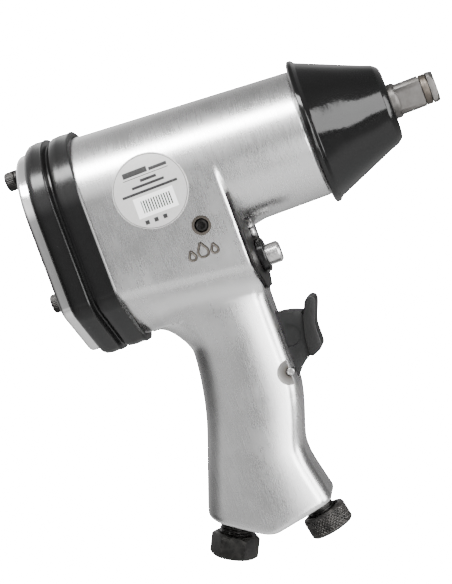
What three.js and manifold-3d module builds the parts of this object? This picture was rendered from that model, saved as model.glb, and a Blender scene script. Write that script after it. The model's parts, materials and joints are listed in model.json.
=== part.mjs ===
// Air impact wrench with a 1/2 inch square drive and a pistol grip.
// Millimetres. +X runs out along the square drive, +Z is up, and the origin is
// the centre of the anvil's flat end face. The whole tool lies behind it, in -X.
import * as THREE from 'three';
import { mergeVertices } from 'three/addons/utils/BufferGeometryUtils.js';
import Module from 'manifold-3d';

const wasm = await Module();
wasm.setup();

// ---------------------------------------------------------------- dimensions

const GAP = 0.3;                  // between pieces that rest on each other
const PAST = 2;                   // how far a cutter runs past the surface it opens
const OUTSIDE = 40;               // a distance from the middle plane that is clear of the sides

// Square drive and anvil
const SQUARE = 12.7;
const SQUARE_TURN = 9;            // degrees about X at rest
const SQUARE_CORNER_RADIUS = 8.25;
const SQUARE_BACK = -16.6;
const COLLAR_BACK = -21.6;
const SHAFT_RADIUS = 7.75;
const DRIVE_TIP = { chamfer: 1.4, radius: 6.0 };
const RING_GROOVE = { front: -3.0, back: -6.4, radius: 4.0 };
const RETAINER = { front: -3.3, back: -6.1, outer: 6.7, inner: 5.5, split: 1.4 };
const RETAINER_SEAL = { x: -4.7, radius: 4.75, thickness: 0.45 };
const ANVIL_BODY = { front: -55.6, back: -83.4, radius: 9.5 };
const JAW = { root: 5, radius: 12, width: 7 };
const PILOT = { back: -86.6, radius: 3.9 };

// Nose boot and barrel
const BOOT_FRONT = -20.2;
const BOOT_BACK = -57.3;
const BOOT_WALL = 2.6;
const BOOT_MOUTH = { bore: 9.2, face: 12, radius: 16.2 };
const CONE_FRONT = { x: -24.0, radius: 18.0 };
const CONE_BACK = { x: -54.4, radius: 31.2 };
const BOOT_LIP = { front: -54.9, back: -56.3, radius: 32.4, seat: -55.2 };
const BARREL_FRONT = -57.6;
const BARREL_RADIUS = 28.2;
const TOP_SLOPE = 0.0687;         // rise of the top line per mm towards the rear
const RADIUS_SLOPE = 0.0323;      // growth of the round top's radius per mm

// Motor block
const BLOCK_FRONT = -98.3;
const BLOCK_BACK = -176.6;
const CORNERS_FRONT = { inset: 6, height: -42.5, radius: 6, footHalf: 8, footHeight: -50.5, footRadius: 7 };
const CORNERS_BACK = { inset: 8, height: -34, radius: 8, footHalf: 4, footHeight: -49.5, footRadius: 8 };
const CORNERS_SETTLE = -156;      // the lower corners stop changing behind this

// Bores of the casting
const HAMMER_BORE = { front: -50.4, back: -96.8, radius: 24.6 };
const MOTOR_BORE_RADIUS = 25.7;
const BUSHING_RADIUS = 11.0;
const NOSE_FRONT = -23.4;
const NOSE_SHOULDER = -48;
const NOSE_CLEARANCE = 0.45;
const ANVIL_BUSHING_BACK = -50.2;

// Motor
const ROTOR_RADIUS = 16.5;
const ROTOR_FRONT = -106.7;
const ROTOR_BACK = -159.6;
const ROTOR_SHAFT = { front: -88.4, back: -171.6, radius: 5.0 };
const LINER = { front: -106.3, back: -160.0, radius: 25.2, bore: 19.3, offset: 2.5 };
const FRONT_PLATE = { front: -97.1, back: -106.0 };
const REAR_PLATE = { front: -160.3, back: -169.3 };
const BEARING = { bore: 5.3, outer: 13.0, width: 7.0, pitch: 9.15, ball: 1.9, count: 7 };
const PLATE_WEB = 1.4;
const PLATE_HOLE = 6.0;
const VANE = { count: 6, thickness: 2.0, slot: 2.6, inner: 9.5, outer: 16.2, slotFloor: 9.2 };

// Hammer
const CAGE = {
  front: -51.0, back: -88.0, outer: 23.8, inner: 20.9, plate: 4.0, bore: 4.3, hub: 9.0, hubBack: -96.7,
};
const CAGE_WINDOW = { side: 21, halfDepth: 5, low: -12, high: 8 };
const PIN_ORBIT = 16.6;
const DOG = { inner: 14.2, outer: 18.2, span: 200, boss: 3.9 };
const HAMMER_PIN_RADIUS = 2.2;

// Rear cover
const COVER = { front: -177.6, back: -182.3, inset: 0.9, rounding: 2.2, bossBack: -169.6, bossRadius: 25.0 };
const COVER_POCKET_BACK = -173.5;
const GASKET = { front: -176.9, back: -177.3, inset: 1.2 };
const BUMPER = { front: -155.9, back: -177.1 };
const SCREW = {
  shank: 2.4, head: 4.25, headFront: -183.9, headBack: -188.4, front: -160.5, socket: 2.3, socketDepth: 3,
};
const WASHER = { front: -182.6, back: -183.6, inner: 2.8, outer: 4.2, split: 0.7 };
const SCREW_SIDE = 14;
const SCREW_HIGH = 25.8;
const SCREW_LOW = -31;

// Reverse valve
const SPOOL_HEIGHT = -43.4;
const SPOOL_RADIUS = 4.85;
const SPOOL_FRONT = -87.2;
const SPOOL_BACK = -181.2;
const SLEEVE = { front: -99.4, back: -152.0, inner: 5.2, outer: 7.2 };
const GLAND = { front: -93.4, back: -96.6, radius: 7.2, rise: 1.2, neck: 6.0, bore: 5.15 };
const SPOOL_SEALS = [-103.5, -148];
const SPOOL_SEAL = { radius: 4.4, thickness: 0.55 };

// Exhaust deflector
const DEFLECTOR = { front: -96.9, back: -98.0, top: -12.5, inset: 0.7 };
const DEFLECTOR_SCREW = { height: -31.7, head: 2.8, shank: 1.7, front: -94.4, back: -106.5 };

// Air and exhaust passages of the casting
const MOTOR_PORTS = [-122, -138];
const MOTOR_PORT = { halfLength: 2.2, halfWidth: 2.6, top: -23 };
const EXHAUST = { side: 16, height: -38, radius: 3.8, back: -118, turn: -114, turnTop: -18, turnRadius: 3 };
const CROSS_CHANNEL = { from: [-133.8, -124], to: [-117, -126], radius: 4.5 };
const VALVE_RISER = { from: [-117, -127], to: [-126, -80], radius: 3.8 };
const SPOOL_RISER = { x: -110.8, radius: 3.6 };

// Handle
const HANDLE_TOP = -40;
const HANDLE_BOTTOM = -166;
const HANDLE_FRONT_LINE = [[-40, -98.3], [-76, -98.4], [-97, -98.7], [-105.5, -100.0], [-113.4, -102.3],
  [-124.5, -105.9], [-130, -106.5], [-136, -105.9], [-148, -103.3], [-158, -101.0], [-166, -99.5]];
const HANDLE_BACK_LINE = [[-40, -155.5], [-55.5, -154.0], [-57.4, -150.0], [-59.8, -146.0], [-63.8, -142.6],
  [-69, -139.8], [-74, -139.0], [-88, -140.8], [-103.5, -144.4], [-125, -151.9], [-139.5, -156.9],
  [-152, -161.0], [-166, -166.0]];
const HANDLE_HALF_WIDTH = [
  [-40, 16], [-58, 15.6], [-76, 14.6], [-98, 14.6], [-125, 15.6], [-145, 17.0], [-166, 18.0],
];
const HANDLE_FRONT_ROUND = 5.5;
const HANDLE_BACK_ROUND = 10;
const HANDLE_STATIONS = 12;
const HANDLE_SIDES = 16;
const BLOCK_SIDES = 24;
const FOOT_FRONT = { x: -103.0, z: -153.0, tilt: -11.3 };
const FOOT_BACK = { x: -156.4, z: -144.2, tilt: 31.5 };

// Air inlet, on an axis that leans back from straight down
const INLET = {
  x: -147.2, z: -149.6, tilt: 27, thread: 7.6, hexAcrossFlats: 19, hexTop: -6.3, hexBottom: -16.8,
};
const INLET_HOLE = { radius: 7.9, depth: 17, passage: 5.2, end: 31 };
const INLET_BORE = { radius: 5.8, top: -2, passage: 4.4, step: 9, cup: 6.0 };
const SCREEN = { bottom: 10, top: 10.8, radius: 5.6, holes: 6, hole: 1.1, orbit: 3.4 };

// Air regulator, on an axis that leans forward from straight down
const REGULATOR = {
  x: -110.4, z: -156.2, tilt: -11.3, knob: 10.2, knobTop: -1.9, knobBottom: -11.6, neck: 5.8,
};
const REGULATOR_HOLE = { radius: 6.3, depth: 22, passage: 3.6, end: 32 };
const REGULATOR_STUD = { bottom: -9.2, radius: 3.9 };
const REGULATOR_NEEDLE = { shoulder: 20, bottom: 21, radius: 2.8, taper: 27, tip: 30, tipRadius: 0.6 };
const REGULATOR_GROOVE = { bottom: 6.6, top: 8.4, radius: 4.6 };
const REGULATOR_SEAL = { height: 7.5, radius: 5.35, thickness: 0.55 };

// Trigger
const PIVOT = { x: -100.6, z: -94.1 };
const PIVOT_RADIUS = 1.75;
const SPOT_FACE_RADIUS = 5.6;
const SPOT_FACE_DEPTH = 12.4;     // distance of the spot face from the middle plane
const WEB_HALF_WIDTH = 6.0;
const PAD_HALF_WIDTH = 9.5;
const PIVOT_BOSS = 4.1;
const SLOT = { front: -90, back: -105.6, top: -66.2, bottom: -99.6, halfWidth: 6.4 };

// Throttle valve
const VALVE = { height: -80, radius: 7.9, back: -135.3 };
const THROTTLE_BUSHING = { front: -105.9, back: -113.5, radius: 7.6, waist: 5.2, port: 1.4 };
const THROTTLE_STEM = { front: -101.7, back: -114.6, radius: 2.0 };
const THROTTLE_SEAL = { front: -113.8, back: -115.3, inner: 2.9, outer: 7.5 };
const THROTTLE_BALL = { x: -118.95, radius: 4.0 };
const THROTTLE_SPRING = { front: -123.3, back: -134.9, radius: 3.3, wire: 0.5, turns: 5 };

// Oil plug and label, on the left side
const OIL_PLUG = {
  x: -112.4, z: -21.5, radius: 2.8, outer: -28.7, inner: -22.5, socket: 1.75, socketFloor: -26,
};
const OIL_HOLE = { counterbore: 4.2, step: -29.1, end: -21 };
const LABEL = { x: -127.4, z: -0.4, radius: 16.3, lift: 0.3, thickness: 0.3, margin: 3 };

// ----------------------------------------------------------------- materials

const FINISHES = {
  castAluminium: { color: 0xc6c7c8, roughness: 0.32, metalness: 1.0 },
  bootBlack: { color: 0x0b0b0c, roughness: 0.12, metalness: 0.0 },
  ribBlack: { color: 0x0f0f10, roughness: 0.2, metalness: 0.0 },
  anvilSteel: { color: 0x8d8780, roughness: 0.42, metalness: 1.0 },
  brightSteel: { color: 0xb9b6b0, roughness: 0.25, metalness: 1.0 },
  blackOxide: { color: 0x1c1b1b, roughness: 0.4, metalness: 0.8 },
  knurledSteel: { color: 0x3b3734, roughness: 0.42, metalness: 0.9 },
  triggerPlastic: { color: 0x2b2b2d, roughness: 0.5, metalness: 0.0 },
  label: { color: 0xe2e0da, roughness: 0.55, metalness: 0.0 },
  bronze: { color: 0xb08a4e, roughness: 0.4, metalness: 1.0 },
  rubber: { color: 0x141414, roughness: 0.7, metalness: 0.0 },
  vane: { color: 0x6b4a2f, roughness: 0.6, metalness: 0.0 },
};

// ------------------------------------------------------------- shape helpers

const degrees = THREE.MathUtils.degToRad;

// Volume inside a closed mesh; negative when its faces point inwards.
function signedVolume(position, index) {
  const a = new THREE.Vector3();
  const b = new THREE.Vector3();
  const c = new THREE.Vector3();
  let total = 0;
  for (let i = 0; i < index.length; i += 3) {
    a.fromBufferAttribute(position, index[i]);
    b.fromBufferAttribute(position, index[i + 1]);
    c.fromBufferAttribute(position, index[i + 2]);
    total += a.dot(b.cross(c)) / 6;
  }
  return total;
}

// A closed geometry as a solid that can be joined and cut.
function solid(geometry) {
  const bare = geometry.clone();
  bare.deleteAttribute('normal');
  bare.deleteAttribute('uv');
  const merged = mergeVertices(bare, 1e-4);
  const index = [];
  const source = merged.index.array;
  for (let i = 0; i < source.length; i += 3) {
    const [a, b, c] = [source[i], source[i + 1], source[i + 2]];
    if (a !== b && b !== c && c !== a) index.push(a, b, c);
  }
  if (signedVolume(merged.attributes.position, index) < 0) index.reverse();
  const mesh = new wasm.Mesh({
    numProp: 3,
    vertProperties: new Float32Array(merged.attributes.position.array),
    triVerts: new Uint32Array(index),
  });
  mesh.merge();
  return new wasm.Manifold(mesh);
}

function geometryOf(body) {
  const mesh = body.getMesh();
  const geometry = new THREE.BufferGeometry();
  geometry.setAttribute('position', new THREE.BufferAttribute(new Float32Array(mesh.vertProperties), 3));
  geometry.setIndex(new THREE.BufferAttribute(new Uint32Array(mesh.triVerts), 1));
  geometry.computeVertexNormals();
  return geometry;
}

// Revolves [x, radius] points about the X axis.
function turned(profile, segments = 20) {
  const points = profile.map(([x, radius]) => new THREE.Vector2(radius, x));
  return solid(new THREE.LatheGeometry(points, segments).rotateZ(-Math.PI / 2));
}

// Revolves [z, radius] points about the Z axis.
function turnedUpright(profile, segments = 20) {
  const points = profile.map(([z, radius]) => new THREE.Vector2(radius, z));
  return solid(new THREE.LatheGeometry(points, segments).rotateX(Math.PI / 2));
}

function barX(front, back, radius, y = 0, z = 0, segments = 18) {
  return turned([[back, 0], [back, radius], [front, radius], [front, 0]], segments).translate([0, y, z]);
}

function tubeX(front, back, outer, inner, y = 0, z = 0, segments = 20) {
  const profile = [[back, inner], [back, outer], [front, outer], [front, inner], [back, inner]];
  return turned(profile, segments).translate([0, y, z]);
}

// A round bar between two points of the middle plane y = side.
function barBetween([x0, z0], [x1, z1], radius, side = 0, segments = 10) {
  const start = new THREE.Vector3(x0, side, z0);
  const end = new THREE.Vector3(x1, side, z1);
  const direction = end.clone().sub(start);
  const geometry = new THREE.CylinderGeometry(radius, radius, direction.length(), segments);
  const upright = new THREE.Vector3(0, 1, 0);
  geometry.applyQuaternion(new THREE.Quaternion().setFromUnitVectors(upright, direction.clone().normalize()));
  const middle = start.add(end).multiplyScalar(0.5);
  geometry.translate(middle.x, middle.y, middle.z);
  return solid(geometry);
}

function barY(x, z, radius, low, high, segments = 18) {
  const geometry = new THREE.CylinderGeometry(radius, radius, high - low, segments);
  geometry.translate(x, (low + high) / 2, z);
  return solid(geometry);
}

function block([x0, x1], [y0, y1], [z0, z1]) {
  const geometry = new THREE.BoxGeometry(x1 - x0, y1 - y0, z1 - z0);
  geometry.translate((x0 + x1) / 2, (y0 + y1) / 2, (z0 + z1) / 2);
  return solid(geometry);
}

// Joins closed rings of equal length into one capped body.
function loft(rings) {
  const count = rings[0].length;
  const positions = rings.flat().flatMap((point) => point.toArray());
  const index = [];
  for (let ring = 0; ring + 1 < rings.length; ring += 1) {
    for (let i = 0; i < count; i += 1) {
      const next = (i + 1) % count;
      const a = ring * count + i;
      const b = ring * count + next;
      index.push(a, b, b + count, a, b + count, a + count);
    }
  }
  for (const [start, flip] of [[0, true], [(rings.length - 1) * count, false]]) {
    for (let i = 1; i + 1 < count; i += 1) {
      const face = [start, start + i, start + i + 1];
      index.push(...(flip ? face.reverse() : face));
    }
  }
  const geometry = new THREE.BufferGeometry();
  geometry.setAttribute('position', new THREE.Float32BufferAttribute(positions, 3));
  geometry.setIndex(index);
  return solid(geometry);
}

// Outline around a set of discs [u, v, radius], one point for each direction.
function outlineAround(discs, count, offset = 0) {
  const outline = [];
  for (let i = 0; i < count; i += 1) {
    const angle = ((i + 0.5) / count) * Math.PI * 2;
    const [nu, nv] = [Math.cos(angle), Math.sin(angle)];
    let best = discs[0];
    for (const disc of discs) {
      const reach = disc[0] * nu + disc[1] * nv + disc[2];
      if (reach > best[0] * nu + best[1] * nv + best[2]) best = disc;
    }
    outline.push([best[0] + (best[2] + offset) * nu, best[1] + (best[2] + offset) * nv]);
  }
  return outline;
}

// Smooth value between [position, value] pairs that run downwards.
function smoothLine(pairs) {
  const curve = new THREE.SplineCurve(pairs.map(([at, value]) => new THREE.Vector2(value, at)));
  const samples = curve.getPoints(pairs.length * 12);
  return (at) => {
    const next = samples.findIndex((point) => point.y <= at);
    if (next < 0) return samples[samples.length - 1].x;
    if (next === 0) return samples[0].x;
    const [above, below] = [samples[next - 1], samples[next]];
    return THREE.MathUtils.mapLinear(at, above.y, below.y, above.x, below.x);
  };
}

// A flat shape drawn in X and Z, with an even thickness across Y.
function slab(shape, halfWidth, curveSegments = 8) {
  const options = { depth: halfWidth * 2, bevelEnabled: false, curveSegments };
  const geometry = new THREE.ExtrudeGeometry(shape, options);
  return solid(geometry.translate(0, 0, -halfWidth).rotateX(Math.PI / 2));
}

function hexagonalBar(acrossFlats, low, high) {
  const corner = acrossFlats / Math.sqrt(3);
  const geometry = new THREE.CylinderGeometry(corner, corner, high - low, 6);
  return solid(geometry.rotateX(Math.PI / 2).translate(0, 0, (low + high) / 2));
}

function ringAround(radius, thickness) {
  return solid(new THREE.TorusGeometry(radius, thickness, 5, 16));
}

const group = new THREE.Group();
group.name = 'impact_wrench';

function add(name, body, finish, parent = group) {
  const mesh = new THREE.Mesh(geometryOf(body), new THREE.MeshStandardMaterial(FINISHES[finish]));
  mesh.name = name;
  parent.add(mesh);
  return mesh;
}

// Everything on a leaning axis is made upright and placed by its group.
function leaningGroup({ x, z, tilt }) {
  const leaning = new THREE.Group();
  leaning.position.set(x, 0, z);
  leaning.rotation.y = degrees(tilt);
  group.add(leaning);
  return leaning;
}

function lean(body, { x, z, tilt }) {
  return body.rotate([0, tilt, 0]).translate([x, 0, z]);
}

// ------------------------------------------------- outlines of the casting

const coneSlope = (CONE_BACK.radius - CONE_FRONT.radius) / (CONE_FRONT.x - CONE_BACK.x);
const boreOfBoot = (x) => CONE_FRONT.radius + coneSlope * (CONE_FRONT.x - x) - BOOT_WALL;
const roundRadius = (x) => BARREL_RADIUS + RADIUS_SLOPE * (BARREL_FRONT - x);
const topLine = (x) => BARREL_RADIUS + TOP_SLOPE * (BARREL_FRONT - x);
const roundCentre = (x) => topLine(x) - roundRadius(x);

function blockDiscs(x) {
  const share = THREE.MathUtils.clamp((x - BLOCK_FRONT) / (CORNERS_SETTLE - BLOCK_FRONT), 0, 1);
  const corner = {};
  for (const key of Object.keys(CORNERS_FRONT)) {
    corner[key] = THREE.MathUtils.lerp(CORNERS_FRONT[key], CORNERS_BACK[key], share);
  }
  const side = roundRadius(x) - corner.inset;
  return [
    [0, roundCentre(x), roundRadius(x)],
    [side, corner.height, corner.radius],
    [-side, corner.height, corner.radius],
    [corner.footHalf, corner.footHeight, corner.footRadius],
    [-corner.footHalf, corner.footHeight, corner.footRadius],
  ];
}

function blockRing(x, offset = 0) {
  return outlineAround(blockDiscs(x), BLOCK_SIDES, offset).map(([y, z]) => new THREE.Vector3(x, y, z));
}

function blockSolid(front, back, offset = 0, steps = 3) {
  const rings = [];
  for (let i = 0; i <= steps; i += 1) {
    rings.push(blockRing(THREE.MathUtils.lerp(front, back, i / steps), offset));
  }
  return loft(rings);
}

const handleFront = smoothLine(HANDLE_FRONT_LINE);
const handleBack = smoothLine(HANDLE_BACK_LINE);
const handleHalfWidth = smoothLine(HANDLE_HALF_WIDTH);

function handleRing(z) {
  const half = handleHalfWidth(z);
  const front = handleFront(z) - HANDLE_FRONT_ROUND;
  const back = handleBack(z) + HANDLE_BACK_ROUND;
  const discs = [];
  for (const side of [1, -1]) {
    discs.push([front, side * (half - HANDLE_FRONT_ROUND), HANDLE_FRONT_ROUND]);
    discs.push([back, side * (half - HANDLE_BACK_ROUND), HANDLE_BACK_ROUND]);
  }
  return outlineAround(discs, HANDLE_SIDES).map(([x, y]) => new THREE.Vector3(x, y, z));
}

// Everything below a foot plane is cut away.
function footCutter({ x, z, tilt }) {
  const size = 120;
  return block([-size, size], [-size, size], [-size, 0]).rotate([0, tilt, 0]).translate([x, 0, z]);
}

// --------------------------------------------------------------- the casting

// One rectangular air port between the reverse valve and the motor.
function motorPort(x, clearance, low, high) {
  const halfLength = MOTOR_PORT.halfLength + clearance;
  const halfWidth = MOTOR_PORT.halfWidth + clearance;
  return block([x - halfLength, x + halfLength], [-halfWidth, halfWidth], [low, high]);
}

// A bore along +Z that narrows to a passage.
function steppedBore({ radius, depth, passage, end }) {
  const below = -20;
  const profile = [[below, 0], [below, radius], [depth, radius], [depth, passage], [end, passage], [end, 0]];
  return turnedUpright(profile, 18);
}

function motorHousing() {
  const barrelRings = [BARREL_FRONT, -78, BLOCK_FRONT - 2].map((x) => {
    const ring = outlineAround([[0, roundCentre(x), roundRadius(x)]], BLOCK_SIDES);
    return ring.map(([y, z]) => new THREE.Vector3(x, y, z));
  });
  const noseRadius = (x) => boreOfBoot(x) - NOSE_CLEARANCE;
  const nose = turned([
    [BARREL_FRONT - 3, 0], [BARREL_FRONT - 3, BARREL_RADIUS - 0.4], [BARREL_FRONT + 2, BARREL_RADIUS - 0.4],
    [NOSE_SHOULDER, noseRadius(NOSE_SHOULDER)], [NOSE_FRONT - 3, noseRadius(NOSE_FRONT - 3)],
    [NOSE_FRONT, noseRadius(NOSE_FRONT) - 1.6], [NOSE_FRONT, 0],
  ], 20);
  const handleRings = [];
  for (let i = 0; i <= HANDLE_STATIONS; i += 1) {
    handleRings.push(handleRing(THREE.MathUtils.lerp(HANDLE_TOP, HANDLE_BOTTOM, i / HANDLE_STATIONS)));
  }
  let casting = loft(handleRings).subtract(footCutter(FOOT_FRONT)).subtract(footCutter(FOOT_BACK));
  casting = casting.add(blockSolid(BLOCK_FRONT, BLOCK_BACK)).add(loft(barrelRings)).add(nose);

  // Bores along the drive axis.
  const bores = [
    barX(NOSE_FRONT + PAST, HAMMER_BORE.front - 1, BUSHING_RADIUS, 0, 0, 24),
    barX(HAMMER_BORE.front, HAMMER_BORE.back, HAMMER_BORE.radius, 0, 0, 24),
    barX(HAMMER_BORE.back + 0.5, BLOCK_BACK - PAST, MOTOR_BORE_RADIUS, 0, 0, 24),
  ];
  // Reverse valve: sleeve bore from the front, then the spool runs through to the cover.
  bores.push(barX(BLOCK_FRONT + PAST, SLEEVE.back - GAP, SLEEVE.outer + GAP, 0, SPOOL_HEIGHT));
  bores.push(barX(SLEEVE.back, BLOCK_BACK - PAST, SPOOL_RADIUS + 0.5, 0, SPOOL_HEIGHT));
  // Air ports from the sleeve up to the motor.
  for (const x of MOTOR_PORTS) {
    bores.push(motorPort(x, GAP, SPOOL_HEIGHT + 5, MOTOR_PORT.top));
  }
  // Exhaust passages that leave behind the deflector.
  for (const side of [EXHAUST.side, -EXHAUST.side]) {
    bores.push(barX(BLOCK_FRONT + PAST, EXHAUST.back, EXHAUST.radius, side, EXHAUST.height, 10));
    const turn = [[EXHAUST.turn, EXHAUST.height], [EXHAUST.turn, EXHAUST.turnTop]];
    bores.push(barBetween(...turn, EXHAUST.turnRadius, side));
  }
  // Cover screw holes.
  for (const [y, z] of screwPlaces()) {
    bores.push(barX(SCREW.front + 1, BLOCK_BACK - PAST, SCREW.shank + GAP, y, z, 8));
  }
  const { back, shank, height } = DEFLECTOR_SCREW;
  bores.push(barX(BLOCK_FRONT + PAST, back - 1, shank + GAP, 0, height, 8));
  // Oil hole.
  bores.push(barY(OIL_PLUG.x, OIL_PLUG.z, OIL_PLUG.radius + GAP, -OUTSIDE, OIL_HOLE.end, 14));
  bores.push(barY(OIL_PLUG.x, OIL_PLUG.z, OIL_HOLE.counterbore, -OUTSIDE, OIL_HOLE.step, 18));
  // Throttle valve chamber and trigger slot.
  bores.push(barX(SLOT.back + PAST, VALVE.back, VALVE.radius, 0, VALVE.height, 20));
  bores.push(block([SLOT.back, SLOT.front], [-SLOT.halfWidth, SLOT.halfWidth], [SLOT.bottom, SLOT.top]));
  bores.push(barY(PIVOT.x, PIVOT.z, PIVOT_RADIUS + GAP, -OUTSIDE, OUTSIDE, 12));
  for (const [low, high] of [[SPOT_FACE_DEPTH, OUTSIDE], [-OUTSIDE, -SPOT_FACE_DEPTH]]) {
    bores.push(barY(PIVOT.x, PIVOT.z, SPOT_FACE_RADIUS, low, high, 18));
  }
  // Air passages: inlet, cross channel, riser to the valve, riser to the reverse valve.
  bores.push(lean(steppedBore(INLET_HOLE), INLET));
  bores.push(barBetween(CROSS_CHANNEL.from, CROSS_CHANNEL.to, CROSS_CHANNEL.radius));
  bores.push(barBetween(VALVE_RISER.from, VALVE_RISER.to, VALVE_RISER.radius));
  bores.push(barBetween([SPOOL_RISER.x, VALVE.height], [SPOOL_RISER.x, SPOOL_HEIGHT - 5], SPOOL_RISER.radius));
  bores.push(lean(steppedBore(REGULATOR_HOLE), REGULATOR));
  return bores.reduce((body, bore) => body.subtract(bore), casting);
}

function screwPlaces() {
  return [SCREW_HIGH, SCREW_LOW].flatMap((z) => [[-SCREW_SIDE, z], [SCREW_SIDE, z]]);
}

add('motor_housing', motorHousing(), 'castAluminium');

// ------------------------------------------------------------ nose and drive

function noseBoot() {
  return turned([
    [BOOT_FRONT, BOOT_MOUTH.bore], [BOOT_FRONT + 0.3, BOOT_MOUTH.face], [BOOT_FRONT - 1.0, BOOT_MOUTH.radius],
    [CONE_FRONT.x, CONE_FRONT.radius], [CONE_BACK.x, CONE_BACK.radius], [BOOT_LIP.front, BOOT_LIP.radius],
    [BOOT_LIP.back, BOOT_LIP.radius], [BOOT_BACK, BOOT_LIP.radius - 1.6], [BOOT_BACK, BARREL_RADIUS + 0.1],
    [BOOT_LIP.seat, BARREL_RADIUS + 0.1], [NOSE_SHOULDER, boreOfBoot(NOSE_SHOULDER)],
    [NOSE_FRONT - 3, boreOfBoot(NOSE_FRONT - 3)], [NOSE_FRONT + GAP, boreOfBoot(NOSE_FRONT) - 1.2],
    [NOSE_FRONT + GAP, BOOT_MOUTH.bore], [BOOT_FRONT, BOOT_MOUTH.bore],
  ], 24);
}

function anvil() {
  const square = block([SQUARE_BACK - 1, 0], [-SQUARE / 2, SQUARE / 2], [-SQUARE / 2, SQUARE / 2])
    .rotate([SQUARE_TURN, 0, 0]);
  const roundedTip = turned([[SQUARE_BACK - 1, 0], [SQUARE_BACK - 1, SQUARE_CORNER_RADIUS],
    [-DRIVE_TIP.chamfer, SQUARE_CORNER_RADIUS], [0, DRIVE_TIP.radius], [0, 0]], 24);
  const groove = tubeX(RING_GROOVE.front, RING_GROOVE.back, SQUARE, RING_GROOVE.radius);
  const drive = square.intersect(roundedTip).subtract(groove);
  const spindle = turned([
    [PILOT.back, 0], [PILOT.back, PILOT.radius], [ANVIL_BODY.back, PILOT.radius],
    [ANVIL_BODY.back, ANVIL_BODY.radius], [ANVIL_BODY.front, ANVIL_BODY.radius],
    [ANVIL_BODY.front, SHAFT_RADIUS], [COLLAR_BACK, SHAFT_RADIUS],
    [SQUARE_BACK - 0.6, SHAFT_RADIUS], [SQUARE_BACK, SHAFT_RADIUS - 0.6], [SQUARE_BACK, 0],
  ], 20);
  const half = JAW.width / 2;
  const jaw = block([ANVIL_BODY.back, ANVIL_BODY.front], [-half, half], [JAW.root, JAW.radius + 1])
    .intersect(barX(ANVIL_BODY.front, ANVIL_BODY.back, JAW.radius, 0, 0, 20));
  return drive.add(spindle).add(jaw);
}

add('nose_boot', noseBoot(), 'bootBlack');
function anvilBushing() {
  return tubeX(NOSE_FRONT - 0.2, ANVIL_BUSHING_BACK, BUSHING_RADIUS - GAP, SHAFT_RADIUS + GAP);
}

// A split ring around X; the split is at the top.
function splitRing({ front, back, outer, inner, split }, segments) {
  const cutter = block([back - 1, front + 1], [-split / 2, split / 2], [0, outer + 1]);
  return tubeX(front, back, outer, inner, 0, 0, segments).subtract(cutter);
}

add('anvil_bushing', anvilBushing(), 'bronze');
add('anvil', anvil(), 'anvilSteel');
add('retainer_ring', splitRing(RETAINER, 20), 'brightSteel');
const retainerRing = ringAround(RETAINER_SEAL.radius, RETAINER_SEAL.thickness);
const retainerSeal = add('retainer_o_ring', retainerRing, 'rubber');
retainerSeal.rotation.y = Math.PI / 2;
retainerSeal.position.x = RETAINER_SEAL.x;

// ------------------------------------------------------------ hammer

// An arc-shaped bar around X, centred on +Z.
function arcBar(front, back, inner, outer, spanDegrees) {
  const half = degrees(spanDegrees / 2);
  const shape = new THREE.Shape();
  shape.absarc(0, 0, outer, Math.PI / 2 - half, Math.PI / 2 + half, false);
  shape.absarc(0, 0, inner, Math.PI / 2 + half, Math.PI / 2 - half, true);
  const options = { depth: front - back, bevelEnabled: false, curveSegments: 10 };
  const geometry = new THREE.ExtrudeGeometry(shape, options);
  geometry.rotateX(Math.PI / 2).rotateZ(Math.PI / 2).translate(back, 0, 0);
  return solid(geometry);
}

function hammerCage() {
  const shell = tubeX(CAGE.front, CAGE.back, CAGE.outer, CAGE.inner, 0, 0, 18);
  const frontPlate = tubeX(CAGE.front, CAGE.front - CAGE.plate, CAGE.outer - 1, SHAFT_RADIUS + 0.6, 0, 0, 18);
  const rearPlate = tubeX(CAGE.back + CAGE.plate, CAGE.back, CAGE.outer - 1, CAGE.bore, 0, 0, 18);
  const hub = tubeX(CAGE.back + 0.5, CAGE.hubBack, CAGE.hub, ROTOR_SHAFT.radius + 0.4, 0, 0, 16);
  let cage = shell.add(frontPlate).add(rearPlate).add(hub);
  const { side, halfDepth, low, high } = CAGE_WINDOW;
  const inside = [CAGE.back + CAGE.plate + 1, CAGE.front - CAGE.plate - 1];
  const window = block(inside, [-halfDepth, halfDepth], [low, high]);
  for (const y of [side, -side]) {
    cage = cage.subtract(window.translate([0, y, 0]));
  }
  return cage.subtract(barX(CAGE.front + 1, CAGE.back - 0.2, HAMMER_PIN_RADIUS + GAP, 0, PIN_ORBIT, 12));
}

function hammerDog() {
  const front = CAGE.front - CAGE.plate - GAP;
  const back = CAGE.back + CAGE.plate + GAP;
  const boss = barX(front, back, DOG.boss, 0, PIN_ORBIT);
  const dog = arcBar(front, back, DOG.inner, DOG.outer, DOG.span).add(boss);
  return dog.subtract(barX(front + 1, back - 1, HAMMER_PIN_RADIUS + GAP, 0, PIN_ORBIT, 12));
}

add('hammer_cage', hammerCage(), 'anvilSteel');
add('hammer_pin', barX(CAGE.front - 0.3, CAGE.back + 0.1, HAMMER_PIN_RADIUS, 0, PIN_ORBIT, 12), 'brightSteel');
add('hammer_dog', hammerDog(), 'anvilSteel');

// ------------------------------------------------------------ air motor

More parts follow.
